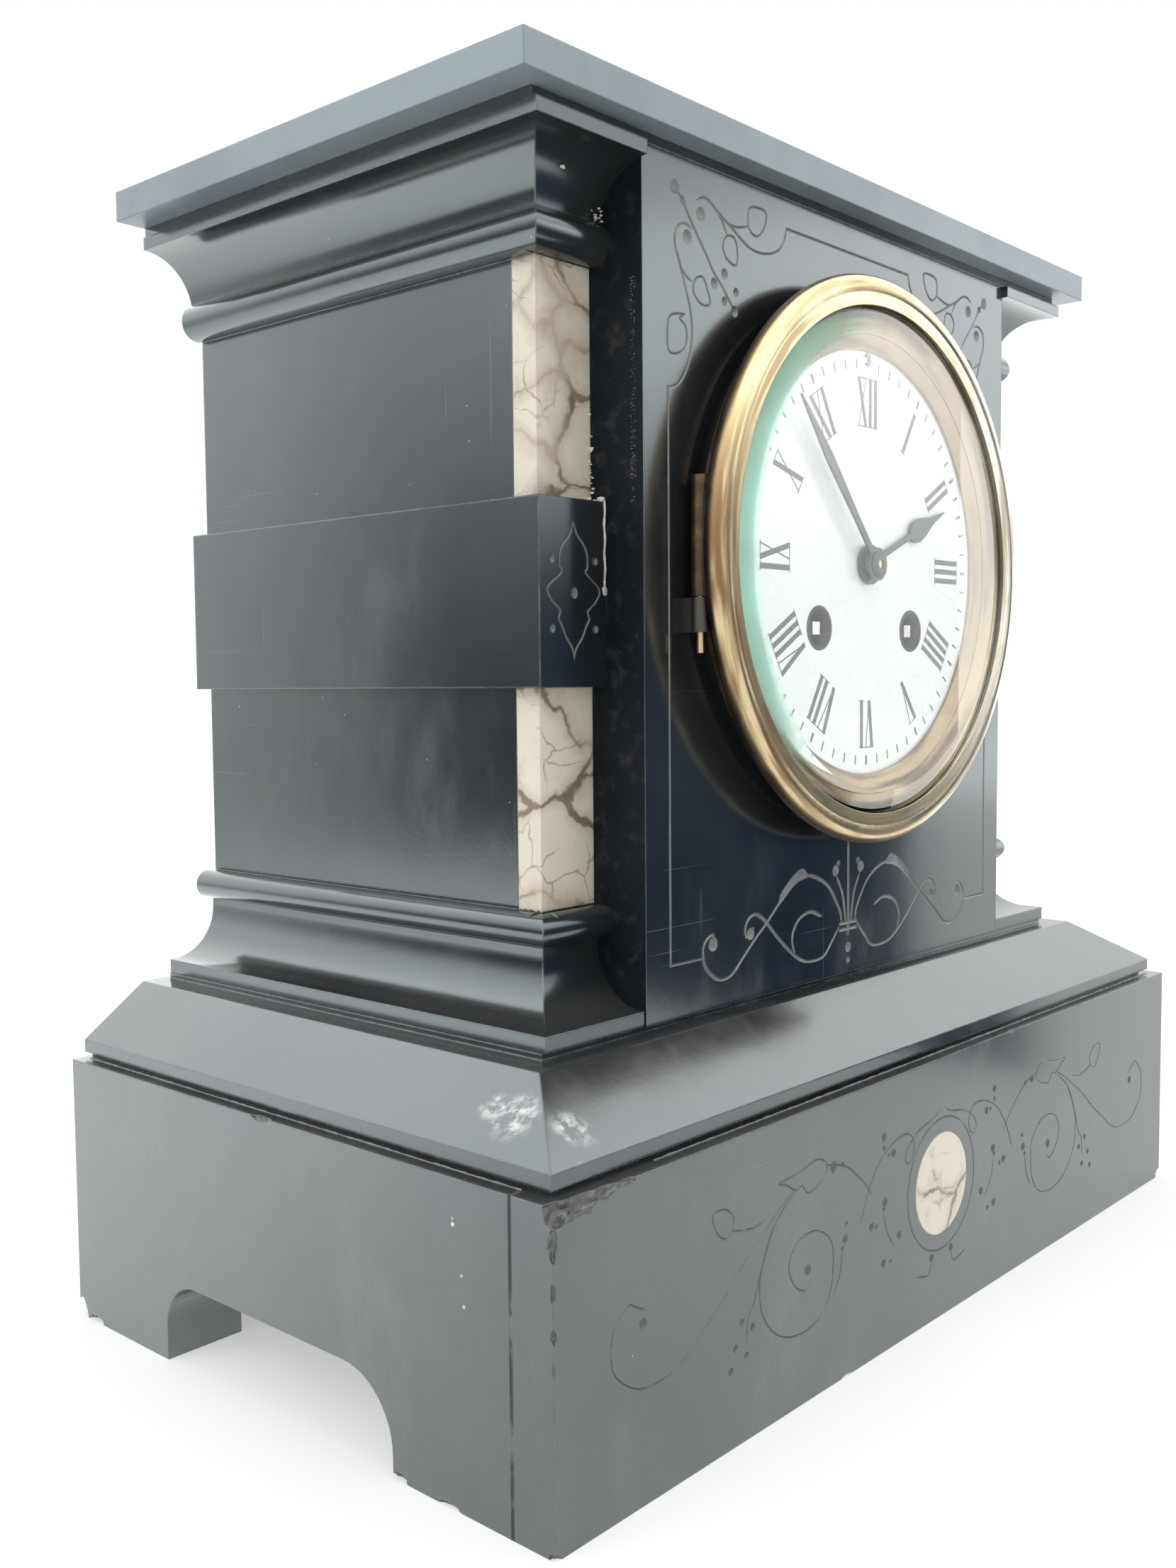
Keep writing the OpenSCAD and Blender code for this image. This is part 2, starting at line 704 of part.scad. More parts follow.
// Dial, hands and their nut
module dial() {
    white() {
        span_y(dial_face, dial_back) difference() {
            circle(dial_r);
            circle(dial_hole_r);
            for (at = [time_at, strike_at]) translate(at) circle(wind_hole_r);
            translate(regulator_at) circle(regulator_hole_r);
        }
        for (a = dial_foot_angles)
            bar(toward(centre_at, a, dial_foot_ring), dial_foot_r, dial_back, plate_front);
    }
}
// Outlines of the hands point up
module minute_outline() {
    swell = minute_len * 0.65;
    stem = minute_stem_w / 2;
    wide = minute_swell_w / 2;
    polygon([[-stem, 0], [-stem, swell * 0.4], [-wide, swell], [-0.12, minute_len],
        [0.12, minute_len], [wide, swell], [stem, swell * 0.4], [stem, 0]]);
}
module hour_outline() {
    leaf_base = hour_len * 0.53;
    half = leaf_w / 2;
    stem = hour_stem_w / 2;
    right = [[stem, 0], [stem, leaf_base], [half * 0.5, leaf_base + 0.3],
        [half * 0.85, leaf_base + 1.5], [half, leaf_base + 3.5], [half * 0.94, leaf_base + 5.4],
        [half * 0.74, leaf_base + 7.8], [half * 0.4, leaf_base + 10.4],
        [half * 0.24, leaf_base + 12.8], [0.12, hour_len]];
    left = [for (i = [len(right) - 1:-1:0]) [-right[i][0], right[i][1]]];
    polygon(concat(right, left));
}
module hour_hand() {
    steel() span_y(hour_hand_front, hour_hand_back) difference() {
        union() {
            rotate(-hour_at) hour_outline();
            circle(hub_r);
        }
        circle(hour_pipe_r);
    }
}
module minute_hand() {
    steel() span_y(minute_hand_front, minute_hand_back) difference() {
        union() {
            rotate(-minute_at) minute_outline();
            circle(hub_r - 0.8);
        }
        circle(cannon_pipe_r);
    }
}
module hand_nut() {
    nut_r = hub_r - 1.6;
    brass() turned() polygon([[bore_r, nut_front], [nut_r - 0.9, nut_front],
        [nut_r, nut_front + 0.45], [nut_r, minute_hand_front], [bore_r, minute_hand_front]]);
}

// Toothed outlines: widths are shares of the pitch at the root, the pitch line and the tip
module toothed(teeth, module_size, phase, shares, above, below) {
    r = teeth * module_size / 2;
    step = 360 / teeth;
    form = [[r - below * module_size, -shares[0]], [r, -shares[1]],
        [r + above * module_size, -shares[2]], [r + above * module_size, shares[2]],
        [r, shares[1]], [r - below * module_size, shares[0]]];
    polygon([for (i = [0:teeth - 1], p = form)
        toward([0, 0], phase + (i + p[1] / 2) * step, p[0])]);
}
module wheel_outline(teeth, module_size, phase) {
    toothed(teeth, module_size, phase, [0.5, 0.38, 0.14], 0.8, 1.15);
}
module pinion_outline(leaves, module_size, phase) {
    toothed(leaves, module_size, phase, [0.32, 0.3, 0.16], 0.7, 1.2);
}
function root_r(leaves, module_size) = module_size * (leaves / 2 - 1.2);

// A wheel with round lightening holes
module crossed_wheel(teeth, module_size, phase, bore) {
    rim = teeth * module_size / 2 - 2.2;
    difference() {
        wheel_outline(teeth, module_size, phase);
        if (rim > 6) for (a = [45, 135, 225, 315])
            translate(toward([0, 0], a, (rim + bore + 1.6) / 2)) circle((rim - bore - 1.6) * 0.34);
    }
}
// A train wheel on its arbor: pinion at pinion_y, wheel at wheel_y, pivots in both plates
module train_wheel(at, leaves, leaf_module, leaf_phase, pinion_y, teeth, module_size, phase,
    wheel_y) {
    r = min(train_arbor_r, root_r(leaves, leaf_module));
    bar(at, r, plate_in + end_play, back_plate_in - end_play);
    bar(at, pivot_r, plate_front + end_play, back_plate_out - end_play);
    span_y(pinion_y - pinion_t / 2, pinion_y + pinion_t / 2) translate(at)
        pinion_outline(leaves, leaf_module, leaf_phase);
    span_y(wheel_y - wheel_t / 2, wheel_y + wheel_t / 2) translate(at)
        crossed_wheel(teeth, module_size, phase, r);
}

// Plates and pillars
module plate_outline() {
    difference() {
        circle(plate_r);
        for (at = [time_at, strike_at]) translate(at) circle(wind_arbor_r + run_gap);
        for (at = pivots_at) translate(at) circle(pivot_r + run_gap);
        for (a = pillar_angles) translate(toward(centre_at, a, plate_r - 3)) circle(pillar_tip_r);
        children();
    }
}
module front_plate() {
    brass() {
        span_y(plate_front, plate_in) plate_outline() {
            circle(centre_arbor_r + run_gap);
            translate(hammer_at) circle(pivot_r + run_gap);
            translate(swing_at) circle(pivot_r + run_gap);
        }
        bar(minute_stud_at, centre_arbor_r, hour_y - 1.8, plate_front);
    }
}
module back_plate() {
    brass() span_y(back_plate_in, back_plate_out) plate_outline() {
        circle(pivot_r + run_gap);
        translate(hammer_at) circle(centre_arbor_r + run_gap);
        translate(swing_at) circle(centre_arbor_r + run_gap);
    }
}
module pillars() {
    brass() for (a = pillar_angles) {
        at = toward(centre_at, a, plate_r - 3);
        bar(at, pillar_r, plate_in, back_plate_in);
        bar(at, pillar_tip_r, plate_front, back_plate_out);
    }
}

// Barrels and winding arbors
module barrel(at) {
    span_y(drum_y, drum_y + drum_len) translate(at) difference() {
        circle(drum_r);
        circle(wind_arbor_r + run_gap);
    }
    span_y(great_y - great_t / 2, great_y + great_t / 2) translate(at) difference() {
        wheel_outline(great_teeth, great_module, 0);
        circle(wind_arbor_r + run_gap);
    }
}
module time_barrel() { brass() barrel(time_at); }
module strike_barrel() { brass() barrel(strike_at); }
module winding_arbor(at) {
    teeth = 24;
    square_front = dial_face + 0.8;
    bar(at, wind_arbor_r, plate_front - 2.2, back_plate_out - end_play);
    span_y(square_front, plate_front) translate(at) square(wind_square, center = true);
    span_y(plate_front - 2, plate_front - 0.6) translate(at) difference() {
        polygon([for (i = [0:teeth - 1], p = [[6.4, 0], [7.4, 0.86]])
            toward([0, 0], (i + p[1]) * 360 / teeth, p[0])]);
        circle(wind_arbor_r - 0.4);
    }
}
module time_arbor() { steel() winding_arbor(time_at); }
module strike_arbor() { steel() winding_arbor(strike_at); }
module clicks() {
    steel() for (side = [-1, 1]) {
        at = [side * (wind_x + 9.6), -wind_drop + 8.4];
        bar(at, 1.8, plate_front - 2.4, plate_front);
        span_y(plate_front - 2, plate_front - 0.6) translate(at)
            polygon([[-side * 1.2, 1.4], [-side * 5.6, -0.2], [-side * 6, -1.4], [-side * 1, -1.6],
                [side * 1, 0]]);
    }
}

// Going train
module time_second_wheel() {
    brass() train_wheel(time_second_at, great_leaves, great_module, time_second_phase, great_y,
        second_teeth, second_module, time_second_phase, second_y);
}
module centre_wheel() {
    brass() {
        bar(centre_at, root_r(run_leaves, second_module), plate_in + end_play,
            back_plate_in - end_play);
        bar(centre_at, centre_arbor_r, nut_front + 0.3, plate_in + end_play);
        bar(centre_at, pivot_r, back_plate_in - end_play, back_plate_out - end_play);
        span_y(second_y - pinion_t / 2, second_y + pinion_t / 2)
            pinion_outline(run_leaves, second_module, centre_phase);
        span_y(centre_y - wheel_t / 2, centre_y + wheel_t / 2)
            crossed_wheel(centre_teeth, centre_module, centre_phase, centre_arbor_r);
    }
}
module third_wheel() {
    brass() train_wheel(third_at, run_leaves, centre_module, third_phase, centre_y,
        third_teeth, third_module, third_phase, third_y);
}
module escape_wheel() {
    r = root_r(run_leaves, third_module);
    step = 360 / escape_teeth;
    brass() {
        bar(escape_at, r, plate_in + end_play, back_plate_in - end_play);
        bar(escape_at, pivot_r, plate_front + end_play, back_plate_out - end_play);
        span_y(third_y - pinion_t / 2, third_y + pinion_t / 2) translate(escape_at)
            pinion_outline(run_leaves, third_module, escape_phase);
        span_y(escape_y - wheel_t / 2, escape_y + wheel_t / 2) translate(escape_at) difference() {
            polygon([for (i = [0:escape_teeth - 1], p = [[escape_r - 1.4, 0], [escape_r, 0.5],
                [escape_r, 0.6]]) toward([0, 0], (i + p[1]) * step, p[0])]);
            for (a = [0, 90, 180, 270]) translate(toward([0, 0], a, 4.2)) circle(2.1);
        }
    }
}

// Striking train
module strike_second_wheel() {
    brass() train_wheel(strike_second_at, great_leaves, great_module, strike_second_phase, great_y,
        lift_teeth, lift_module, strike_second_phase, second_y);
}
module pin_wheel() {
    brass() {
        train_wheel(pin_at, lift_leaves, lift_module, pin_phase, second_y,
            lift_teeth, pin_module, pin_phase, pin_y);
        for (i = [0:9]) bar(toward(pin_at, i * 36, lift_pin_at), 0.4, pin_y, pin_y + 3);
    }
}
module locking_wheel() {
    brass() train_wheel(lock_at, lift_leaves, pin_module, lock_phase, pin_y,
        lock_teeth, lock_module, lock_phase, lock_y);
}
module warning_wheel() {
    brass() train_wheel(warn_at, lift_leaves, lock_module, warn_phase, lock_y,
        warn_teeth, warn_module, warn_phase, warn_y);
}
module fly() {
    r = root_r(run_leaves, warn_module);
    brass() {
        bar(fly_at, r, plate_in + end_play, back_plate_in - end_play);
        bar(fly_at, pivot_r, plate_front + end_play, back_plate_out - end_play);
        span_y(warn_y - pinion_t / 2, warn_y + pinion_t / 2) translate(fly_at)
            pinion_outline(run_leaves, warn_module, fly_phase);
        span_y(plate_in + 8.5, plate_in + 17) translate(fly_at)
            square([2 * fly_r, 0.6], center = true);
        bar(fly_at, 1, plate_in + 11, plate_in + 14);
    }
}

// Motion work
module cannon_pinion() {
    brass() {
        span_y(minute_y - pinion_t / 2, minute_y + pinion_t / 2) difference() {
            pinion_outline(cannon_teeth, motion_module, 0);
            circle(bore_r);
        }
        span_y(minute_hand_front, minute_y) difference() {
            circle(cannon_pipe_r);
            circle(bore_r);
        }
    }
}
module minute_wheel() {
    brass() {
        span_y(minute_y - wheel_t / 2, minute_y + wheel_t / 2) translate(minute_stud_at)
            difference() {
                wheel_outline(minute_teeth, motion_module, minute_phase);
                circle(bore_r);
            }
        span_y(hour_y - pinion_t / 2, minute_y) translate(minute_stud_at) difference() {
            pinion_outline(minute_leaves, hour_module, minute_phase);
            circle(bore_r);
        }
    }
}
module hour_wheel() {
    brass() {
        span_y(hour_y - wheel_t / 2, hour_y + wheel_t / 2) difference() {
            wheel_outline(hour_teeth, hour_module, hour_phase);
            circle(cannon_pipe_r + run_gap);
        }
        span_y(hour_hand_front, hour_y) difference() {
            circle(hour_pipe_r);
            circle(cannon_pipe_r + run_gap);
        }
    }
}

// Anchor with its crutch behind the back plate
module anchor_outline() {
    right = [[0, 1.8], [2.6, 1.6], [7.8, -3.2], [8.7, -5.8], [6.9, -6.4], [6.3, -4.8], [2.2, -1.6],
        [0, -1.8]];
    left = [for (i = [len(right) - 2:-1:1]) [-right[i][0], right[i][1]]];
    polygon(concat(right, left));
}
module anchor() {
    steel() {
        bar(swing_at, centre_arbor_r, plate_in + end_play, crutch_y + crutch_t);
        bar(swing_at, pivot_r, plate_front + end_play, plate_in + end_play);
        span_y(escape_y - wheel_t, escape_y + wheel_t) translate(swing_at) anchor_outline();
        span_y(crutch_y, crutch_y + crutch_t) translate(swing_at) {
            circle(2.2);
            translate([-1.2, -crutch_len]) square([2.4, crutch_len]);
            translate([-2.8, -crutch_len - 2]) square([5.6, 3]);
        }
        for (side = [-1, 1]) bar([side * (rod_r + 0.75), swing_z - crutch_len - 0.5], 0.6,
            crutch_y, rod_y + 2);
    }
}

// Suspension: cock, spring, adjustable slit block and regulating arbor
module suspension_cock() {
    brass() difference() {
        span_y(back_plate_out, rod_y + 2) translate([-6.5, cock_z]) square([13, 8]);
        bar(regulator_at, centre_arbor_r + run_gap, back_plate_out - eps, rod_y + 2 + eps);
        translate([-spring_t / 2, rod_y - spring_w / 2, dial_z + cock_z - eps])
            cube([spring_t, spring_w, 2 + eps]);
    }
}
module suspension_spring() {
    steel() translate([-spring_t / 2, rod_y - spring_w / 2, dial_z + swing_z - 0.7])
        cube([spring_t, spring_w, cock_z + 2 - swing_z + 0.7]);
}
module slit_block() {
    pitch = rack_module * PI;
    slot = spring_t + 2 * run_gap;
    brass() difference() {
        union() {
            span_y(rod_y - 3.5, rack_y + 1.2) translate([-3.2, block_z])
                square([7.4, block_h]);
            span_y(rack_y - 1.2, rack_y + 1.2) {
                translate([rack_x + 0.6, block_z]) square([1.6, regulator_at[1] + 5.4 - block_z]);
                for (i = [-3:2]) translate([rack_x, regulator_at[1] + i * pitch])
                    polygon([[0.8, -0.36], [0, -0.26], [-0.35, -0.12], [-0.35, 0.12], [0, 0.26],
                        [0.8, 0.36]]);
            }
        }
        translate([-slot / 2, rod_y - spring_w / 2 - 0.1, dial_z + block_z - eps])
            cube([slot, spring_w + 0.2, block_h + 2 * eps]);
    }
}
module regulating_arbor() {
    steel() {
        bar(regulator_at, centre_arbor_r, dial_back + 1, rack_y + 1.4);
        span_y(dial_face + 0.6, dial_back + 1) translate(regulator_at)
            square(1.3, center = true);
        span_y(rack_y - 1.1, rack_y + 1.1) translate(regulator_at)
            pinion_outline(rack_leaves, rack_module, 22.5);
    }
}

// Pendulum
module pendulum_rod() {
    foot_z = swing_z - pendulum_len - bob_r - 6;
    steel() {
        difference() {
            span_y(rod_y - 3, rod_y + 3) translate([-2.4, swing_z - clamp_h])
                square([4.8, clamp_h]);
            translate([-spring_t, rod_y - spring_w / 2 - 0.1, dial_z + swing_z - 1])
                cube([2 * spring_t, spring_w + 0.2, 1 + eps]);
        }
        translate([0, rod_y, dial_z + foot_z]) cylinder(r = rod_r, h = swing_z - clamp_h - foot_z);
    }
}
module pendulum_bob() {
    z = swing_z - pendulum_len;
    rim = 1.2;
    brass() difference() {
        union() {
            turned([0, z]) polygon([[0, rod_y - bob_t / 2], [bob_r * 0.6, rod_y - bob_t * 0.42],
                [bob_r, rod_y - rim], [bob_r, rod_y + rim], [bob_r * 0.6, rod_y + bob_t * 0.42],
                [0, rod_y + bob_t / 2]]);
            translate([0, rod_y, dial_z + z - bob_r - 3.4]) cylinder(r = 3, h = 2.4);
        }
        translate([0, rod_y, dial_z + z - bob_r - 5]) cylinder(r = rod_r, h = 2 * bob_r + 10);
    }
}

// Hammer and bell
module hammer() {
    head_y = bell_y + 2.6;
    head_at = [bell_at[0] - bell_r - 4.6, -10];
    stem = head_at - hammer_at;
    steel() {
        bar(hammer_at, centre_arbor_r, plate_in + end_play, head_y + 1.2);
        bar(hammer_at, pivot_r, plate_front + end_play, plate_in + end_play);
        span_y(pin_y + 1, pin_y + 2.5) translate(hammer_at) rotate(-10) polygon([[0, -1.6],
            [3.4, -0.7], [3.4, 0.7], [0, 1.6]]);
        span_y(head_y - 0.8, head_y + 0.8) translate(hammer_at) {
            circle(2);
            rotate(atan2(stem[1], stem[0])) translate([0, -0.8]) square([norm(stem), 1.6]);
        }
        translate([head_at[0] - 4, head_y, dial_z + head_at[1]]) rotate([0, 90, 0])
            cylinder(r = 2.6, h = 8);
    }
}
module bell() {
    ball_y = bell_y + bell_d - bell_ball_r;
    brass() turned(bell_at) intersection() {
        difference() {
            translate([0, ball_y]) circle(bell_ball_r);
            translate([0, ball_y]) circle(bell_ball_r - bell_t);
        }
        translate([bell_stud_r, bell_y]) square([bell_r + 2, bell_d + 2]);
    }
}
module bell_stand() {
    inner_r = bell_ball_r - bell_t;
    crown_y = bell_y + bell_d - bell_ball_r + sqrt(inner_r * inner_r - bell_post_r * bell_post_r);
    steel() {
        bar(bell_at, bell_post_r, back_plate_out, crown_y);
        bar(bell_at, bell_stud_r, crown_y - 2, bell_y + bell_d + 2.5);
        bar(bell_at, 5.5, back_plate_out, back_plate_out + 1.6);
        bar(bell_at, 4, bell_y + bell_d, bell_y + bell_d + 2);
    }
}

// Straps from the fixed ring to the back ring, their screws, the ring and the door
module straps() {
    brass() for (side = [0, 1]) mirror([side, 0, 0]) difference() {
        union() {
            translate([strap_in, plate_front, dial_z - strap_w / 2])
                cube([strap_t, strap_end - plate_front, strap_w]);
            translate([strap_screw_x - 4, strap_end - 2, dial_z - strap_w / 2])
                cube([strap_in + strap_t - strap_screw_x + 4, 2, strap_w]);
        }
        bar([strap_screw_x, 0], screw_r, strap_end - 2 - eps, strap_end + eps);
    }
}
module strap_screws() {
    steel() for (side = [-1, 1]) {
        at = [side * strap_screw_x, 0];
        bar(at, screw_r, strap_end - 3, back_face + back_ring_t - 0.4);
        difference() {
            bar(at, screw_head_r, back_face + 0.4, back_face + back_ring_t);
            translate([side * strap_screw_x - 0.3, back_face + back_ring_t - 0.4,
                dial_z - screw_head_r - eps]) cube([0.6, 0.4 + eps, 2 * (screw_head_r + eps)]);
        }
    }
}
module back_ring() {
    lug_z = dial_z - door_knuckle_h;
    brass() difference() {
        union() {
            span_y(back_face, back_face + back_ring_t) difference() {
                circle(back_ring_r);
                circle(back_ring_in);
            }
            translate([door_hinge_x, door_hinge_y, lug_z])
                cylinder(r = door_knuckle_r, h = door_knuckle_h - 0.1);
            translate([door_hinge_x - 1, back_face, lug_z])
                cube([4.5, back_ring_t, door_knuckle_h - 0.1]);
            translate([door_hinge_x - 1, back_face, lug_z])
                cube([2, door_hinge_y - back_face, door_knuckle_h - 0.1]);
        }
        translate([door_hinge_x, door_hinge_y, lug_z - eps])
            cylinder(r = door_pin_r, h = door_knuckle_h + 2 * eps);
        for (side = [-1, 1]) {
            bar([side * strap_screw_x, 0], screw_r, back_face - eps, back_face + back_ring_t + eps);
            bar([side * strap_screw_x, 0], screw_head_r, back_face + 0.4,
                back_face + back_ring_t + eps);
        }
    }
}
module back_door() {
    leaf_z = dial_z + 0.1;
    brass() difference() {
        union() {
            bar([0, 0], back_door_r, door_y, door_y + back_door_t);
            bar([back_door_r - 7, 0], 2.4, door_y, plinth_d - 0.4);
            translate([door_hinge_x, door_hinge_y, leaf_z])
                cylinder(r = door_knuckle_r, h = door_knuckle_h - 0.1);
            translate([door_hinge_x, door_y, leaf_z]) cube([6, back_door_t, door_knuckle_h - 0.1]);
        }
        translate([door_hinge_x, door_hinge_y, leaf_z - eps])
            cylinder(r = door_pin_r + run_gap, h = door_knuckle_h + 2 * eps);
    }
}

plinth_front();
plinth_sides();
plinth_back();
plinth_inlay();
base_slab();
lower_moulding_left();
lower_moulding_right();
side_wall_left();
side_wall_right();
bands();
marble_strips();
upper_moulding_left();
upper_moulding_right();
cornice_slab();
top_slab();
front_panel();
back_panel();
mount_ring();
hinge_pins();
bezel_frame();
bezel_glass();
sight_ring();
dial();
hour_hand();
minute_hand();
hand_nut();
front_plate();
back_plate();
pillars();
time_barrel();
strike_barrel();
time_arbor();
strike_arbor();
clicks();
time_second_wheel();
centre_wheel();
third_wheel();
escape_wheel();
strike_second_wheel();
pin_wheel();
locking_wheel();
warning_wheel();
fly();
cannon_pinion();
minute_wheel();
hour_wheel();
anchor();
suspension_cock();
suspension_spring();
slit_block();
pendulum_rod();
pendulum_bob();
regulating_arbor();
hammer();
bell();
bell_stand();
straps();
strap_screws();
back_ring();
back_door();
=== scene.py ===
import math
import random

import bmesh
import bpy
import numpy as np
from mathutils import Matrix, Vector, geometry


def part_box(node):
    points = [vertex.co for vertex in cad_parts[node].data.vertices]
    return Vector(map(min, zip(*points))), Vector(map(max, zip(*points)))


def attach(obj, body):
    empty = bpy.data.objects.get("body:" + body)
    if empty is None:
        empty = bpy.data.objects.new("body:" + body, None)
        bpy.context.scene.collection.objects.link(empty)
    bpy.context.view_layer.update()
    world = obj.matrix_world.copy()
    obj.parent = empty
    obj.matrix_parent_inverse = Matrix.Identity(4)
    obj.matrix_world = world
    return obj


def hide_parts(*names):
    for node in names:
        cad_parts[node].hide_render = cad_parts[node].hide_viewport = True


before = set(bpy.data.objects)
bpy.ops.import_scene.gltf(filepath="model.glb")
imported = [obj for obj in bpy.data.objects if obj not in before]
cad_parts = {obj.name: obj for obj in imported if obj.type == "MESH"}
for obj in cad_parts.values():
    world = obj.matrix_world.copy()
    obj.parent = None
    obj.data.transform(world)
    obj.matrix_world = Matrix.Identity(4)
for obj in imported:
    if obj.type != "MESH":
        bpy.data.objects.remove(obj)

# Anything of the start-up file goes, so that only the clock is left.
for spare in ("Cube", "Light", "Camera"):
    if spare in bpy.data.objects:
        bpy.data.objects.remove(bpy.data.objects[spare])
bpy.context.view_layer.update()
random.seed(11)

# Lengths are in millimetres: x from the middle, depth behind the plinth's front, z above the table.
MM = 0.001
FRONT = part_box("plinth_front")[0].y


def depth_of(node, end=0):
    """How far a node's nearest (0) or farthest (1) face lies behind the plinth's front."""
    return (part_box(node)[end].y - FRONT) / MM


PANEL_AT = depth_of("front_panel")
DIAL_FACE = depth_of("dial")
BAND_AT = depth_of("bands")
DIAL_Z = sum(corner.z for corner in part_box("dial")) / 2 / MM
PLINTH_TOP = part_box("plinth_front")[1].z / MM
PLINTH_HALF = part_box("plinth_front")[1].x / MM
BAND_LOW, BAND_HIGH = (corner.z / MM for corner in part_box("bands"))
BAND_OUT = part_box("bands")[1].x / MM
PANEL_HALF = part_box("front_panel")[1].x / MM


def at(x, depth, z):
    """A point in metres from a place in millimetres."""
    return Vector((x * MM, FRONT + depth * MM, z * MM))


# Materials
def rgb(*colour):
    """A colour as the shader wants it."""
    return (*colour, 1.0)


class Nodes:
    """Makes and joins the nodes of one material or world."""

    def __init__(self, owner):
        owner.use_nodes = True
        self.tree = owner.node_tree

    def put(self, socket, value):
        """Joins a socket to another node's output, or sets it to a number or colour."""
        if isinstance(value, bpy.types.NodeSocket):
            self.tree.links.new(value, socket)
        else:
            socket.default_value = value

    def node(self, kind, inputs=None, **settings):
        """A new node with its inputs and settings."""
        made = self.tree.nodes.new("ShaderNode" + kind)
        for key, value in settings.items():
            setattr(made, key, value)
        for key, value in (inputs or {}).items():
            self.put(made.inputs[key], value)
        return made

    def math(self, operation, first, second=0.0):
        """Arithmetic on one or two values."""
        return self.node("Math", {0: first, 1: second}, operation=operation).outputs[0]

    def plus(self, first, second):
        """One value and another."""
        return self.math("ADD", first, second)

    def minus(self, first, second):
        """One value less another."""
        return self.math("SUBTRACT", first, second)

    def times(self, first, second):
        """One value times another."""
        return self.math("MULTIPLY", first, second)

    def larger(self, first, second):
        """The larger of two values."""
        return self.math("MAXIMUM", first, second)

    def parts(self, place):
        """The x, y and z of a place."""
        return self.node("SeparateXYZ", {0: place}).outputs

    def fade(self, value, low, high):
        """0 below low, 1 above high, smooth between them."""
        inputs = {"Value": value, "From Min": low, "From Max": high}
        return self.node("MapRange", inputs, interpolation_type="SMOOTHSTEP").outputs[0]

    def ramp(self, value, low, high, first, last):
        """A number that goes evenly from first to last while a value goes from low to high."""
        inputs = {"Value": value, "From Min": low, "From Max": high, "To Min": first, "To Max": last}
        return self.node("MapRange", inputs).outputs[0]

    def blend(self, share, first, second):
        """A mix of two numbers."""
        return self.node("Mix", {0: share, 2: first, 3: second}).outputs[0]

    def seen_or_mirrored(self):
        """1 for rays from the camera and for reflections and views through glass."""
        path = self.node("LightPath").outputs
        mirrored = self.larger(path["Is Glossy Ray"], path["Is Transmission Ray"])
        return self.larger(path["Is Camera Ray"], mirrored)


class Shade(Nodes):
    """One material's nodes round a Principled shader, placed by the object's own coordinates."""

    def __init__(self, name, fixed):
        self.material = bpy.data.materials.new(name)
        super().__init__(self.material)
        self.shader = self.tree.nodes["Principled BSDF"]
        for key, value in fixed.items():
            self.shader.inputs[key].default_value = value
        self.place = self.node("TexCoord").outputs["Object"]
        self.shape = self.node("NewGeometry")

    def scaled(self, factors, start=None):
        """The place stretched along x, y and z."""
        inputs = {0: start or self.place, 1: factors}
        return self.node("VectorMath", inputs, operation="MULTIPLY").outputs[0]

    def noise(self, scale, detail=4.0, rough=0.55, start=None):
        """Soft random values; scale is in features per metre."""
        inputs = {"Vector": start or self.place, "Scale": scale, "Detail": detail, "Roughness": rough}
        return self.node("TexNoise", inputs).outputs[0]

    def cells(self, scale, start=None, feature="F1"):
        """A cell texture's node."""
        return self.node("TexVoronoi", {"Vector": start or self.place, "Scale": scale}, feature=feature)

    def mix(self, share, first, second):
        """A mix of two colours."""
        first, second = (rgb(*part) if isinstance(part, tuple) else part for part in (first, second))
        return self.node("Mix", {0: share, 6: first, 7: second}, data_type="RGBA").outputs[2]

    def between(self, share, first, second):
        """A number that goes from first to second with a share of 0 to 1."""
        return self.ramp(share, 0.0, 1.0, first, second)

    def round_dial(self):
        """Distance from the dial's axis, and the place across and up from it."""
        across, _, up = self.parts(self.place)
        up = self.minus(up, DIAL_Z * MM)
        square = self.plus(self.times(across, across), self.times(up, up))
        return self.math("SQRT", square), across, up

    def swirl(self, reach):
        """A place that changes fast with the distance from the dial's axis and slowly round it."""
        radius, across, up = self.round_dial()
        turns = [self.times(self.math("DIVIDE", part, radius), reach) for part in (across, up)]
        return self.node("CombineXYZ", {0: radius, 1: turns[0], 2: turns[1]}).outputs[0]

    def facing_up(self):
        """1 on faces that look up, where dust settles."""
        return self.fade(self.parts(self.shape.outputs["Normal"])[2], 0.5, 0.95)

    def edges(self, radius):
        """A rounded normal, and a mask of the edges that it rounds."""
        normal = self.node("Bevel", {"Radius": radius}, samples=4).outputs[0]
        flat = self.shape.outputs["Normal"]
        same = self.node("VectorMath", {0: normal, 1: flat}, operation="DOT_PRODUCT").outputs["Value"]
        return normal, self.fade(self.minus(1.0, same), 0.01, 0.16)

    def bump(self, height, distance, normal=None):
        """A bumped normal; distance in metres."""
        inputs = {"Height": height, "Distance": distance, "Strength": 1.0}
        if normal is not None:
            inputs["Normal"] = normal
        return self.node("Bump", inputs).outputs[0]

    def finish(self, colour, rough, normal):
        """Joins colour, roughness and normal to the shader."""
        self.put(self.shader.inputs["Base Color"], colour)
        self.put(self.shader.inputs["Roughness"], rough)
        self.put(self.shader.inputs["Normal"], normal)
        return self.material


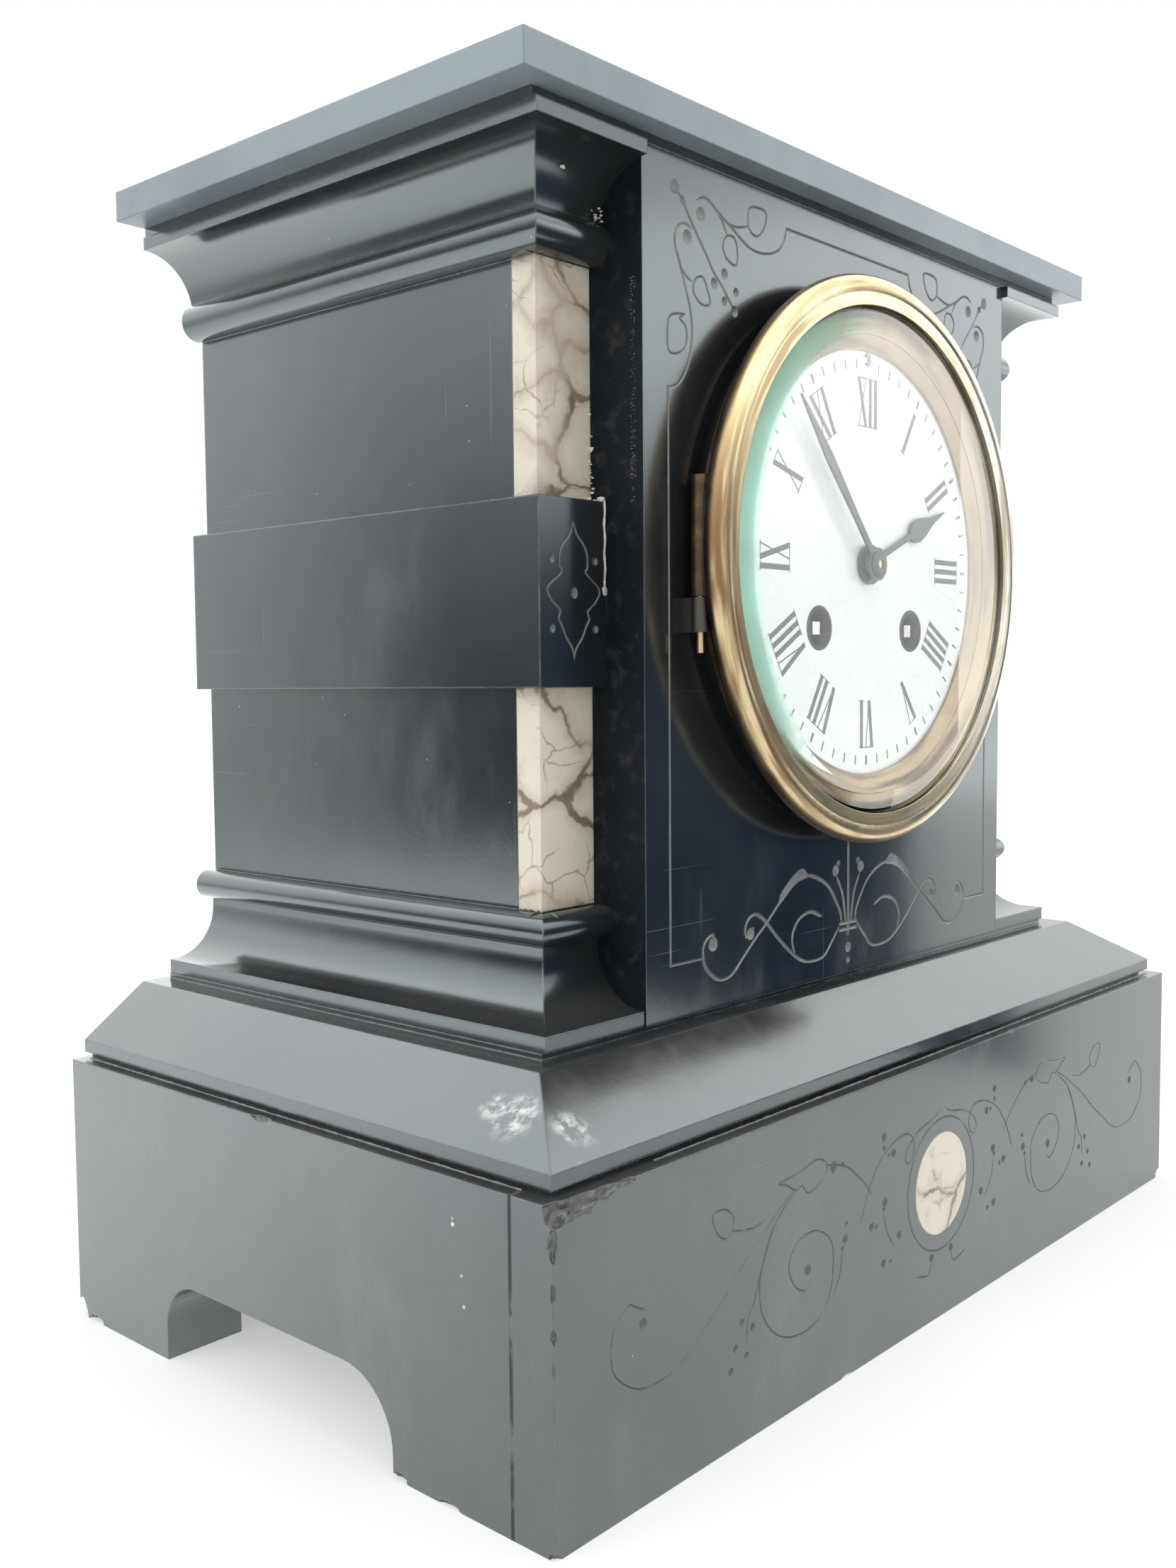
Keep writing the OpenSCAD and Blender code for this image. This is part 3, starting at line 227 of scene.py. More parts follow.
def slate(name, dark, light, haze, rough, dust=0.16, wear=0.6, ior=1.9, marks_and_glare=(), seam=None):
    """Polished slate: cloudy, smeared and scratched, with worn edges, pale marks and painted glare where
    given, and a dark seam.
    """
    s = Shade(name, {"IOR": ior, "Specular Tint": rgb(0.86, 0.97, 1.0)})
    worn = (0.3, 0.31, 0.31)
    rounded, edge = s.edges(0.0005)
    cloud = s.noise(14, 6, 0.6)
    colour = s.mix(s.fade(cloud, 0.35, 0.65), dark, light)
    smear = s.fade(s.noise(38, 8, 0.68, s.scaled((1.0, 1.0, 0.5))), 0.48, 0.78)
    colour = s.mix(s.times(smear, haze), colour, (0.19, 0.2, 0.2))
    settled = s.times(s.facing_up(), s.between(s.noise(26, 4, 0.5), 0.3, 1.0))
    colour = s.mix(s.times(settled, dust), colour, (0.36, 0.35, 0.33))
    streaks = s.noise(1.0, 2, 0.4, s.scaled((9, 9, 2600)))
    slants = s.noise(1.0, 2, 0.4, s.scaled((2300, 2300, 22)))
    scratch = s.larger(s.fade(streaks, 0.72, 0.76), s.fade(slants, 0.73, 0.77))
    scratch = s.times(scratch, s.fade(s.noise(25, 3), 0.52, 0.66))
    colour = s.mix(s.times(scratch, 0.16), colour, worn)
    speck = s.cells(210)
    chosen = s.fade(s.node("SeparateColor", {0: speck.outputs["Color"]}).outputs[0], 0.9, 0.92)
    dots = s.times(s.minus(1.0, s.fade(speck.outputs["Distance"], 0.02, 0.05)), chosen)
    colour = s.mix(dots, colour, (0.6, 0.6, 0.58))
    lightened = s.times(edge, s.fade(s.noise(160, 5, 0.65), 0.36, 0.62))
    colour = s.mix(s.times(lightened, wear), colour, worn)
    # Pale blots round given places: marks on the stone, and on the base slab a painted glare highlight.
    for x, depth, z, reach, pale in marks_and_glare:
        away = s.node("VectorMath", {0: s.place, 1: at(x, depth, z)}, operation="DISTANCE").outputs["Value"]
        near = s.fade(away, reach * MM, 0.3 * reach * MM)
        blot = s.times(near, s.fade(s.noise(330, 5, 0.65), 0.42, 0.62))
        colour = s.mix(s.times(blot, pale), colour, (0.92, 0.94, 0.92))
    gloss = s.plus(s.between(cloud, rough - 0.03, rough + 0.07), s.times(smear, 0.1))
    gloss = s.plus(gloss, s.times(lightened, 0.2))
    if seam is not None:
        off = s.math("ABSOLUTE", s.minus(s.parts(s.place)[1], FRONT + seam * MM))
        line = s.times(s.fade(off, 0.0006, 0.0003), s.fade(s.noise(90, 4), 0.3, 0.45))
        colour = s.mix(line, colour, (0.004, 0.004, 0.004))
        gloss = s.larger(gloss, line)
    height = s.plus(s.noise(900, 4), s.times(scratch, -1.5))
    normal = s.bump(s.noise(28, 2), 0.00012, rounded)
    return s.finish(colour, gloss, s.bump(height, 0.000006, normal))


def cut_slate(name, dark, light, dusty, ior=1.7):
    """The matte grey stone inside engraved lines and chips, with dust in places."""
    s = Shade(name, {"IOR": ior})
    grain = s.noise(2600, 5, 0.7)
    colour = s.mix(grain, dark, light)
    colour = s.mix(s.fade(s.noise(240, 4), 0.5, 0.75), colour, dusty)
    return s.finish(colour, s.between(grain, 0.3, 0.6), s.bump(grain, 0.00006))


def marble():
    """Cream marble with a net of jagged dark veins."""
    s = Shade("cream_marble", {"IOR": 1.55, "Subsurface Weight": 0.06, "Subsurface Scale": 0.002})
    rounded, edge = s.edges(0.0004)
    shift = s.node("TexNoise", {"Vector": s.place, "Scale": 120.0, "Detail": 4.0, "Roughness": 0.5})
    shift = s.scaled((0.0085, 0.0085, 0.0085), shift.outputs["Color"])
    bent = s.node("VectorMath", {0: s.place, 1: shift}, operation="ADD").outputs[0]
    broad = s.cells(50, s.scaled((0.75, 0.75, 1.15), bent), "DISTANCE_TO_EDGE").outputs["Distance"]
    fine = s.cells(105, s.scaled((0.8, 1.0, 1.1), bent), "DISTANCE_TO_EDGE").outputs["Distance"]
    near = s.minus(broad, s.times(s.fade(s.noise(95, 4), 0.45, 0.8), 0.04))
    vein = s.minus(1.0, s.fade(near, 0.0, 0.04))
    vein = s.times(vein, s.between(s.fade(s.noise(48, 3), 0.4, 0.55), 0.25, 1.0))
    thin = s.minus(1.0, s.fade(fine, 0.004, 0.03))
    thin = s.times(thin, s.fade(s.noise(60, 3), 0.48, 0.62))
    halo = s.minus(1.0, s.fade(near, 0.0, 0.16))
    colour = s.mix(s.noise(45, 5), (0.82, 0.73, 0.57), (0.97, 0.93, 0.82))
    colour = s.mix(s.times(halo, 0.35), colour, (0.5, 0.36, 0.22))
    colour = s.mix(s.times(thin, 0.7), colour, (0.34, 0.25, 0.17))
    stained = s.fade(s.noise(110, 6, 0.7), 0.55, 0.72)
    colour = s.mix(s.times(stained, 0.45), colour, (0.5, 0.38, 0.22))
    colour = s.mix(vein, colour, s.mix(s.noise(300, 3), (0.16, 0.125, 0.1), (0.4, 0.31, 0.23)))
    colour = s.mix(s.times(edge, 0.3), colour, (0.75, 0.7, 0.6))
    gloss = s.between(s.noise(70, 4), 0.22, 0.42)
    height = s.plus(s.noise(700, 4), s.times(vein, -0.8))
    return s.finish(colour, gloss, s.bump(height, 0.00002, rounded))


def metal(name, bright, dull, rough, stain, painted_shade_behind=None, turned=0.0, lightened=None):
    """A worked metal, stained and tarnished; a turned ring has bands; a bezel may be painted paler at the
    right and darker in streaks at the lower left, as painted reflections, and dark behind a depth, as painted
    shade.
    """
    s = Shade(name, {"Metallic": 1.0, "IOR": 1.5})
    rounded, edge = s.edges(0.00025)
    brush = s.noise(2600, 3, 0.5, s.swirl(0.0018)) if turned else s.noise(900, 3, 0.5)
    patch = s.fade(s.noise(75, 7, 0.66), 0.42, 0.72)
    spots = s.fade(s.noise(520, 5, 0.6), 0.62, 0.74)
    tarnish_and_painted_shade = s.times(s.larger(patch, spots), stain)
    if turned:
        swirl = s.swirl(0.0045)
        bands = s.times(s.fade(s.noise(420, 3, 0.5, swirl), 0.42, 0.66), turned)
        tarnish_and_painted_shade = s.larger(tarnish_and_painted_shade, bands)
    colour = bright
    # Painted reflections: paler towards the right, and darker streaks towards the lower left.
    if lightened:
        _, across, up = s.round_dial()
        lower_left = s.plus(s.times(across, 0.94), s.times(up, 0.34))
        streaks = s.between(s.fade(s.noise(620, 2, 0.5, swirl), 0.36, 0.56), 0.25, 0.95)
        tarnish_and_painted_shade = s.larger(tarnish_and_painted_shade, s.times(s.fade(lower_left, -0.03, -0.06), streaks))
        colour = s.mix(s.fade(across, 0.0, 0.06), colour, lightened)
    colour = s.mix(tarnish_and_painted_shade, colour, dull)
    colour = s.mix(s.times(edge, 0.4), colour, tuple(min(1.0, part * 1.15) for part in bright))
    gloss = s.plus(s.between(brush, rough - 0.05, rough + 0.08), s.times(tarnish_and_painted_shade, 0.25))
    # Behind the given depth the colour is painted dark brown: painted shade on the bezel's back.
    if painted_shade_behind is not None:
        shaded_back = s.fade(s.parts(s.place)[1], FRONT + painted_shade_behind * MM, FRONT + (painted_shade_behind + 1.5) * MM)
        colour = s.mix(shaded_back, colour, s.mix(patch, (0.06, 0.045, 0.03), (0.2, 0.135, 0.08)))
    return s.finish(colour, gloss, s.bump(brush, 0.000012, rounded))


def hand_steel():
    """The hands' old dark finish: grey-green paint, worn through along the edges."""
    s = Shade("hand_steel", {"Metallic": 0.35, "IOR": 1.5})
    rounded, edge = s.edges(0.0002)
    patch = s.noise(260, 6, 0.65)
    colour = s.mix(patch, (0.03, 0.038, 0.036), (0.1, 0.12, 0.11))
    colour = s.mix(s.times(edge, s.fade(patch, 0.4, 0.6)), colour, (0.42, 0.4, 0.34))
    return s.finish(colour, s.between(patch, 0.3, 0.55), s.bump(patch, 0.00003, rounded))


def enamel():
    """White vitreous enamel with faint hair cracks and a little orange peel."""
    s = Shade("white_enamel", {"IOR": 1.5, "Coat Weight": 0.05, "Coat Roughness": 0.1})
    rounded, edge = s.edges(0.0004)
    gap = s.cells(26, feature="DISTANCE_TO_EDGE").outputs["Distance"]
    crack = s.times(s.minus(1.0, s.fade(gap, 0.0, 0.004)), s.fade(s.noise(30, 3), 0.55, 0.6))
    colour = s.mix(s.noise(40, 5), (0.9, 0.91, 0.9), (0.95, 0.955, 0.94))
    colour = s.mix(s.times(crack, 0.25), colour, (0.5, 0.47, 0.4))
    colour = s.mix(s.times(edge, 0.5), colour, (0.6, 0.6, 0.57))
    gloss = s.between(s.noise(200, 3), 0.2, 0.32)
    return s.finish(colour, gloss, s.bump(s.noise(350, 2), 0.00001, rounded))


def print_black():
    """Fired black numerals, slightly uneven."""
    s = Shade("dial_print", {"IOR": 1.5})
    patch = s.noise(800, 5, 0.6)
    colour = s.mix(patch, (0.008, 0.009, 0.01), (0.035, 0.037, 0.04))
    return s.finish(colour, s.between(patch, 0.2, 0.4), s.bump(patch, 0.00001))


def bezel_glass_shade():
    """Clear glass whose bevelled rim shows the green of its thickness, with a painted glint that makes it
    strongest on the hinge side.
    """
    s = Shade("bevelled_glass", {"IOR": 1.5, "Transmission Weight": 1.0})
    radius, across, up = s.round_dial()
    # The rim's green is painted stronger towards the hinge side, as a glint where the bevel catches the
    # light.
    side = s.fade(s.minus(s.times(up, 0.25), across), 0.01, 0.044)
    green = s.times(s.fade(radius, 0.0498, 0.0525), side)
    rim_green_and_glint = s.mix(green, (0.98, 1.0, 0.99), (0.52, 1.0, 0.8))
    smudge = s.times(s.fade(s.noise(55, 6, 0.65), 0.55, 0.8), 0.05)
    frost = s.plus(smudge, s.times(green, 0.4))
    return s.finish(rim_green_and_glint, frost, s.bump(s.noise(60, 2), 0.000006))


def plaster():
    """Old crumbly plaster and dust left in the joints."""
    s = Shade("old_plaster", {"IOR": 1.4})
    patch = s.noise(420, 6, 0.7)
    colour = s.mix(s.fade(patch, 0.3, 0.55), (0.3, 0.25, 0.19), (0.85, 0.83, 0.77))
    return s.finish(colour, 0.9, s.bump(s.noise(1800, 4), 0.0002))


# Mesh pieces
def add_object(name, data):
    """A new object in the scene."""
    thing = bpy.data.objects.new(name, data)
    bpy.context.scene.collection.objects.link(thing)
    return thing


def add_mesh(name, form, *materials, smooth=False):
    """A new object from an edited form, which is freed."""
    mesh = bpy.data.meshes.new(name)
    for face in form.faces:
        face.smooth = smooth
    form.to_mesh(mesh)
    form.free()
    for material in materials:
        mesh.materials.append(material)
    return add_object(name, mesh)


def add_piece(name, form, body, slot, *materials, smooth=False):
    """Puts a form into the scene as a piece of the clock that moves with a body."""
    piece = add_mesh(name, form, *materials, smooth=smooth)
    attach(piece, body)
    return piece


def welded(node):
    """A node's faces with the split corners joined again."""
    form = bmesh.new()
    form.from_mesh(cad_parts[node].data)
    bmesh.ops.remove_doubles(form, verts=form.verts, dist=1e-7)
    bmesh.ops.dissolve_limit(form, angle_limit=math.radians(0.5), verts=form.verts, edges=form.edges)
    return form


def lump(form, centre, radii, rough, detail):
    """Adds an uneven pebble shape."""
    for vert in bmesh.ops.create_icosphere(form, subdivisions=detail, radius=1.0)["verts"]:
        swell = 1.0 + random.uniform(-rough, rough)
        vert.co = centre + Vector(part * radius * MM * swell for part, radius in zip(vert.co, radii))


def knocked(form, knocks):
    """Takes uneven bites out of a form; each knock is x, depth, z and three radii."""
    if not knocks:
        return form
    cutter = bmesh.new()
    for x, depth, z, *radii in knocks:
        lump(cutter, at(x, depth, z), radii, rough=0.16, detail=3)
    stone = add_mesh("stone", form)
    tool = add_mesh("knocks", cutter)
    cut = stone.modifiers.new("cut", "BOOLEAN")
    cut.object = tool
    cut.operation = "DIFFERENCE"
    cut.solver = "EXACT"
    cut.use_self = True
    bpy.context.view_layer.update()
    result = bmesh.new()
    result.from_mesh(stone.evaluated_get(bpy.context.evaluated_depsgraph_get()).data)
    for thing in (stone, tool):
        bpy.data.objects.remove(thing)
    for face in result.faces:
        middle = face.calc_center_median()
        sloped = max(abs(part) for part in face.normal) < 0.9995
        near = any((middle - at(*knock[:3])).length < max(knock[3:]) * 1.25 * MM for knock in knocks)
        face.material_index = 1 if sloped and near else 0
    return result


def curve_through(points, closed=False, step=0.7):
    """A smooth line through points, about step mm between its own points."""
    raw = [Vector(point) for point in points]
    line = []
    spans = len(raw) if closed else len(raw) - 1
    for i in range(spans):
        b, c = raw[i], raw[(i + 1) % len(raw)]
        a = raw[i - 1] if closed or i > 0 else 2 * b - c
        d = raw[(i + 2) % len(raw)] if closed or i + 2 < len(raw) else 2 * c - b
        pieces = max(1, round((c - b).length / step))
        for k in range(pieces):
            t = k / pieces
            bend = (2 * a - 5 * b + 4 * c - d) * t**2 + (3 * b - a - 3 * c + d) * t**3
            line.append(0.5 * (2 * b + (c - a) * t + bend))
    if not closed:
        line.append(raw[-1])
    return line


def sides_of(line, half, closed, straight):
    """The two edges of a band round a line; a curve narrows towards its open ends."""
    left, right, widths = [], [], []
    total = len(line) - 1
    for i, point in enumerate(line):
        arrive = point - line[i - 1] if closed or i > 0 else line[1] - line[0]
        leave = line[(i + 1) % len(line)] - point if closed or i < total else arrive
        run = (arrive.normalized() + leave.normalized()).normalized()
        mitre = 1.0 / max(0.5, run.dot(leave.normalized()))
        ends = 1.0 if closed or straight else min(1.0, 0.35 + min(i, total - i) / 4.0)
        across = Vector((-run.y, run.x)) * half * ends * mitre
        left.append(point + across)
        right.append(point - across)
        widths.append(half * ends)
    return left, right, widths


class Engraving:
    """Lines and pits to be cut into a flat face, drawn in millimetres across and up."""

    def __init__(self):
        self.points, self.edges, self.segments, self.pits = [], [], [], []

    def chain(self, line, closed):
        """Adds a row of joined points."""
        first = len(self.points)
        self.points.extend(line)
        last = len(self.points) - 1
        self.edges.extend((i, i + 1) for i in range(first, last))
        if closed:
            self.edges.append((last, first))

    def stroke(self, points, half=0.23, deep=0.22, closed=False, straight=False):
        """A V-shaped cut along a line."""
        line = [Vector(point) for point in points] if straight else curve_through(points, closed)
        left, right, widths = sides_of(line, half, closed, straight)
        self.chain(line, closed)
        if closed:
            self.chain(left, True)
            self.chain(right, True)
        else:
            tip = line[-1] + (line[-1] - line[-2]).normalized() * widths[-1]
            tail = line[0] + (line[0] - line[1]).normalized() * widths[0]
            self.chain([*left, tip, *reversed(right), tail], True)
        rows = list(zip(line, widths))
        pairs = list(zip(rows, rows[1:])) + ([(rows[-1], rows[0])] if closed else [])
        for (start, wide), (end, wide_end) in pairs:
            self.segments.append((*start, *end, wide, wide_end, deep / half))

    def pit(self, x, z, radius, deep=0.55):
        """A round punched hollow."""
        for share in (1.0, 0.72, 0.4):
            ring = [Vector((x + radius * share * math.cos(a), z + radius * share * math.sin(a)))
                    for a in (math.tau * k / 14 for k in range(14))]
            self.chain(ring, True)
        self.points.append(Vector((x, z)))
        self.pits.append((x, z, radius, deep))

    def both_sides(self, points, **how):
        """A stroke on the left and its mirror image on the right."""
        self.stroke(points, **how)
        self.stroke([(-x, z) for x, z in points], **how)

    def pit_pairs(self, spots, swell=1.0, deep=0.55):
        """Hollows and their mirror images; each spot is x, z and radius."""
        for x, z, radius in spots:
            for side in (1, -1):
                self.pit(side * x, z, swell * radius, deep)

    def depths(self, places):
        """How deep the cuts are at each place, in millimetres."""
        deep = np.zeros(len(places))
        rows = np.array(self.segments)
        for first in range(0, len(rows), 400):
            part = rows[first:first + 400]
            start, end = part[:, 0:2], part[:, 2:4]
            run = end - start
            length = np.maximum((run**2).sum(1), 1e-9)
            gap = places[:, None, :] - start[None]
            share = np.clip((gap * run[None]).sum(2) / length, 0, 1)
            away = np.sqrt(((gap - share[..., None] * run[None]) ** 2).sum(2))
            wide = part[:, 4] + share * (part[:, 5] - part[:, 4])
            cut = part[:, 6] * np.clip(wide - away, 0, None)
            deep = np.maximum(deep, cut.max(1))
        for x, z, radius, bottom in self.pits:
            away = ((places - (x, z)) ** 2).sum(1) / radius**2
            deep = np.maximum(deep, bottom * np.clip(1 - away, 0, 1))
        return deep


def inside(places, rim):
    """Which places lie inside the closed outlines whose edges are given, holes left out."""
    x, z = places[:, 0][:, None], places[:, 1][:, None]
    x1, z1, x2, z2 = (rim[:, i][None] for i in range(4))
    crosses = (z1 > z) != (z2 > z)
    rise = np.where(z2 == z1, 1e-12, z2 - z1)
    return (crosses & (x < (x2 - x1) * (z - z1) / rise + x1)).sum(1) % 2 == 1


# A cut deeper than this shows the matte stone.
SHALLOW = 0.02


def engrave(form, depth, drawing):
    """Cuts a drawing into the flat front face of a form that lies depth behind the plinth's front."""
    plane = FRONT + depth * MM
    flat = [f for f in form.faces if f.normal.y < -0.999 and abs(f.calc_center_median().y - plane) < 2e-6]
    chosen = set(flat)
    rim = [e for e in form.edges if sum(f in chosen for f in e.link_faces) == 1]
    corners = list(dict.fromkeys(v for e in rim for v in e.verts))
    number = {v: i for i, v in enumerate(corners)}
    points = [Vector((v.co.x / MM, v.co.z / MM)) for v in corners] + drawing.points
    edges = [tuple(number[v] for v in e.verts) for e in rim]
    edges += [(a + len(corners), b + len(corners)) for a, b in drawing.edges]
    outline = np.array([[*points[a], *points[b]] for a, b in edges[:len(rim)]])
    bmesh.ops.delete(form, geom=flat, context="FACES")
    places, _, triangles, *_ = geometry.delaunay_2d_cdt(points, edges, [], 0, 1e-4)
    places = np.array([tuple(p) for p in places])
    triangles = np.array([tuple(t) for t in triangles])
    deep = drawing.depths(places)
    keep = inside(places[triangles].mean(1), outline)
    made = [form.verts.new(at(x, depth + down, z)) for (x, z), down in zip(places, deep)]
    for a, b, c in triangles[keep]:
        face = form.faces.new((made[a], made[b], made[c]))
        face.material_index = 0 if (deep[a] + deep[b] + deep[c]) / 3 < SHALLOW else 1
    bmesh.ops.delete(form, geom=[v for v in made if not v.link_faces], context="VERTS")
    bmesh.ops.remove_doubles(form, verts=form.verts, dist=2e-7)
    return form


# The ornament, drawn on the left half and mirrored; x from the middle and z above the table.
SPRAY_STEMS = (
    [(-65, 245), (-62.5, 243), (-61, 241), (-58.5, 238), (-54.5, 233.5), (-52.5, 231), (-49.5, 228.5),
     (-45, 224)],
    [(-59.5, 238), (-62, 238.5), (-64.5, 237), (-65, 234), (-63.5, 230.5), (-61.5, 225.5), (-60, 221.5),
     (-59.5, 217.5), (-60, 213.5), (-61.5, 209.5), (-64, 206.5), (-67, 205.5)],
    [(-58, 244), (-55.5, 245), (-53, 244.5), (-50.5, 243), (-46, 241), (-43, 239.5), (-39, 238),
     (-34, 238), (-29.5, 239.5), (-27, 242), (-26, 245)],
    [(-47.5, 241.5), (-44, 241.5), (-40, 242.5)],
    [(-51, 243), (-49.5, 242), (-47.5, 239)],
    [(-63, 229.5), (-61, 228), (-59.5, 227.5)],
)
SPRAY_FLOWERS = (
    [(-40, 242.5), (-40, 246), (-38, 247), (-34, 247), (-33.5, 245.5), (-35, 242.5), (-37.5, 241)],
    [(-47.5, 239), (-49, 237), (-48, 234.5), (-44.5, 233.5), (-44, 236.5), (-45, 239)],
    [(-58.5, 228), (-59, 225.5), (-56.5, 223.5), (-53.5, 224), (-54.5, 227), (-56, 229)],
    [(-62, 220.5), (-66.5, 219.5), (-67.5, 216), (-67, 212.5), (-64, 212.5), (-61.5, 214.5),
     (-61.5, 218), (-63.5, 219.5)],
)
SPRAY_BUDS = ((-65, 245, 1.4), (-62.5, 243, 0.8), (-45, 224, 1.1), (-48.5, 231, 1.1), (-44.5, 228, 0.9),
              (-52, 228.5, 1.1), (-48.5, 225.5, 0.9), (-61, 236, 1.4), (-56.5, 241.5, 1.4))
FOOT_SCROLLS = (
    [(-53, 91), (-53, 93), (-55, 92.5), (-56.5, 90.5), (-56, 87), (-53.5, 84.5), (-50.5, 83),
     (-46.5, 83.5), (-42.5, 86.5), (-38, 90), (-33, 93.5), (-28, 97.5), (-23, 101), (-18, 102),
     (-13, 101), (-8.5, 98.5), (-5.5, 95), (-3.5, 92), (-3, 89.5)],
    [(-39.5, 91.5), (-41, 91), (-41.5, 93), (-40, 95), (-37.5, 95.5), (-34.5, 94), (-30, 90), (-25, 86),
     (-20, 83), (-15.5, 82), (-10.5, 82.5), (-7, 85.5), (-4, 88.5)],
    [(-22.5, 85), (-23.5, 87.5), (-23, 90), (-20.5, 92.5), (-16, 93.5), (-11.5, 92)],
    [(-1, 89), (-2.5, 96), (-5, 100.5)],
)
FOOT_BERRIES = ((53, 91, 1.5), (39.5, 91.5, 1.3), (5.5, 102, 1.3), (4.3, 103.6, 0.7))
TOP_BORDER = [(-26, 245), (26, 245)]
SIDE_BORDER = [(-67.4, 205.5), (-67.4, 88.5), (-57, 88.5)]
FOOT_LEAF = [(-29, 96.5), (-26, 98.7), (-23, 100.6), (-20, 101.6), (-17, 101.8)]
LEAF_LIFTS = (0.0, 0.9, 1.8)
PALM_STEM = [(0, 108.5), (0, 86)]
PALM_DROPS = ((0, 83.2, 1.2), (0, 80.2, 0.8))
PALM_TIES, PALM_TIE_HALF = (87.6, 89.1), 3.6
PLINTH_SCROLLS = (
    [(-106, 35.5), (-106.5, 36), (-109.5, 37.5), (-111, 38), (-115, 34.5), (-115.5, 29), (-113.5, 25.5),
     (-108, 22), (-100, 21.5), (-95, 23), (-89.5, 26.5), (-82.5, 31), (-76, 36), (-69.5, 40),
     (-64.5, 43), (-59, 45.5)],
    [(-60, 44.5), (-65.5, 41), (-69, 36), (-71.5, 30.5), (-71, 24), (-67.5, 19), (-62.5, 16), (-56, 15),
     (-50, 16.5), (-46.5, 20.5), (-45.5, 26), (-46, 30.5), (-49, 33.5), (-53, 35), (-58, 34.5),
     (-61, 32), (-61.5, 29), (-59.5, 25.5), (-56, 23.5), (-54, 25)],
    [(-61, 44), (-67.5, 39), (-71.5, 31.5), (-73.5, 26.5), (-75.5, 24), (-76, 19.5)],
    [(-68.5, 42.5), (-73, 41.5), (-77, 42), (-81, 43)],
    [(-48, 47.5), (-41, 45.5), (-36, 42), (-33, 39.5), (-30.5, 36.5)],
    [(-35, 31.5), (-32.5, 36.5), (-30, 40), (-26.5, 43.5), (-21, 46), (-16, 46.5), (-13, 44.5),
     (-13, 41), (-15, 39.5), (-16.5, 41), (-15, 43.5), (-10.5, 46), (-3.5, 47.5), (-1, 49)],
    [(-25.5, 31), (-24, 26.5), (-21, 22.5)],
    [(-42, 28), (-43, 23), (-45.5, 19)],
    [(-4.5, 14), (-6, 11.5), (-11.5, 12.5)],
)
PLINTH_FLOWERS = (
    [(-65, 48), (-58, 48.5), (-52.5, 49.5), (-49.5, 49), (-48, 47.5), (-48.5, 45.5), (-51.5, 44),
     (-55, 43.5), (-57, 45.5), (-59, 45), (-62.5, 47), (-64, 47.5)],
    [(-86.5, 47.5), (-82.5, 47.5), (-80, 45), (-81, 42.5), (-83, 42), (-85.5, 44)],
)
PLINTH_BERRIES = (
    (-107, 33.5, 1.3), (-55, 27.5, 1.4), (-77.5, 24, 0.9), (-74, 22, 0.9), (-79.5, 19.5, 0.9),
    (-76, 17, 0.9), (-81, 15.5, 0.9), (-45.5, 46.5, 1.4), (-42, 46, 0.7), (-25.5, 48, 1.1),
    (-25.5, 45.5, 0.7), (-21.5, 43.5, 1.1), (-23.5, 43.5, 0.6), (-25, 33.5, 1.2), (-25.5, 32, 0.7),
    (-19, 24.5, 1.1), (-30.5, 29.5, 1.1), (-28.5, 29, 0.7), (-25.5, 20, 1.1), (-22.5, 19.5, 0.7),
    (-41, 30, 1.2), (-40.5, 33, 0.7), (-42, 28, 0.7), (-4.5, 15, 1.1),
)
DISC_RING_R, DISC_Z = 15.3, 31.3
BAND_LEAF = ((0, 14), (-1, 11.5), (-3, 9.5), (-4, 7.5), (-4, 5), (-3.5, 4), (-7.5, 1), (-6.5, -1.5),
             (-4, -3.5), (-4.5, -5), (-3.5, -6.5), (-2.5, -8.5), (-0.5, -11), (0, -13))
BAND_BERRIES = ((6.3, 6.5, 0.8), (-6.3, 6.5, 0.8), (6.3, -7, 0.8), (-6.3, -7, 0.8), (0, 0, 1.1))


def panel_drawing():
    """Corner sprays, the border and the scrolls at the foot of the front panel."""
    cut = Engraving()
    for stem in SPRAY_STEMS:
        cut.both_sides(stem)
    for flower in SPRAY_FLOWERS:
        cut.both_sides(flower, closed=True, half=0.2)
    cut.pit_pairs(SPRAY_BUDS)
    cut.stroke(TOP_BORDER, straight=True)
    cut.both_sides(SIDE_BORDER, straight=True)
    for scroll in FOOT_SCROLLS:
        cut.both_sides(scroll, half=0.3)
    for lift in LEAF_LIFTS:
        leaf = [(x + lift * 0.3, z + lift) for x, z in FOOT_LEAF[:-1]] + [FOOT_LEAF[-1]]
        cut.both_sides(leaf, half=0.36)
    cut.pit_pairs(FOOT_BERRIES)
    cut.stroke(PALM_STEM, half=0.36)
    for x, z, radius in PALM_DROPS:
        cut.pit(x, z, radius)
    for z in PALM_TIES:
        cut.stroke([(-PALM_TIE_HALF, z), (PALM_TIE_HALF, z)], straight=True, half=0.34)
    return cut


def plinth_drawing():
    """The long scrolls either side of the inlaid disc."""
    cut = Engraving()
    for scroll in PLINTH_SCROLLS:
        cut.both_sides(scroll, half=0.19, deep=0.16)
    for flower in PLINTH_FLOWERS:
        cut.both_sides(flower, closed=True, half=0.17, deep=0.14)
    cut.pit_pairs(PLINTH_BERRIES, swell=0.85, deep=0.4)
    turns = [math.tau * k / 40 for k in range(40)]
    ring = [(DISC_RING_R * math.cos(turn), DISC_Z + DISC_RING_R * math.sin(turn)) for turn in turns]
    cut.stroke(ring, closed=True, half=0.2, deep=0.16)
    return cut


def band_drawing():
    """A pointed leaf cut into the front end of each band."""
    cut = Engraving()
    middle = (BAND_LOW + BAND_HIGH) / 2
    across = (BAND_OUT + PANEL_HALF) / 2
    for side in (1, -1):
        for flip in (1, -1):
            leaf = [(side * across + flip * x, middle + z) for x, z in BAND_LEAF]
            cut.stroke(leaf, half=0.17, deep=0.16)
        for x, z, radius in BAND_BERRIES:
            cut.pit(side * across + x, middle + z, radius, deep=0.45)
    return cut


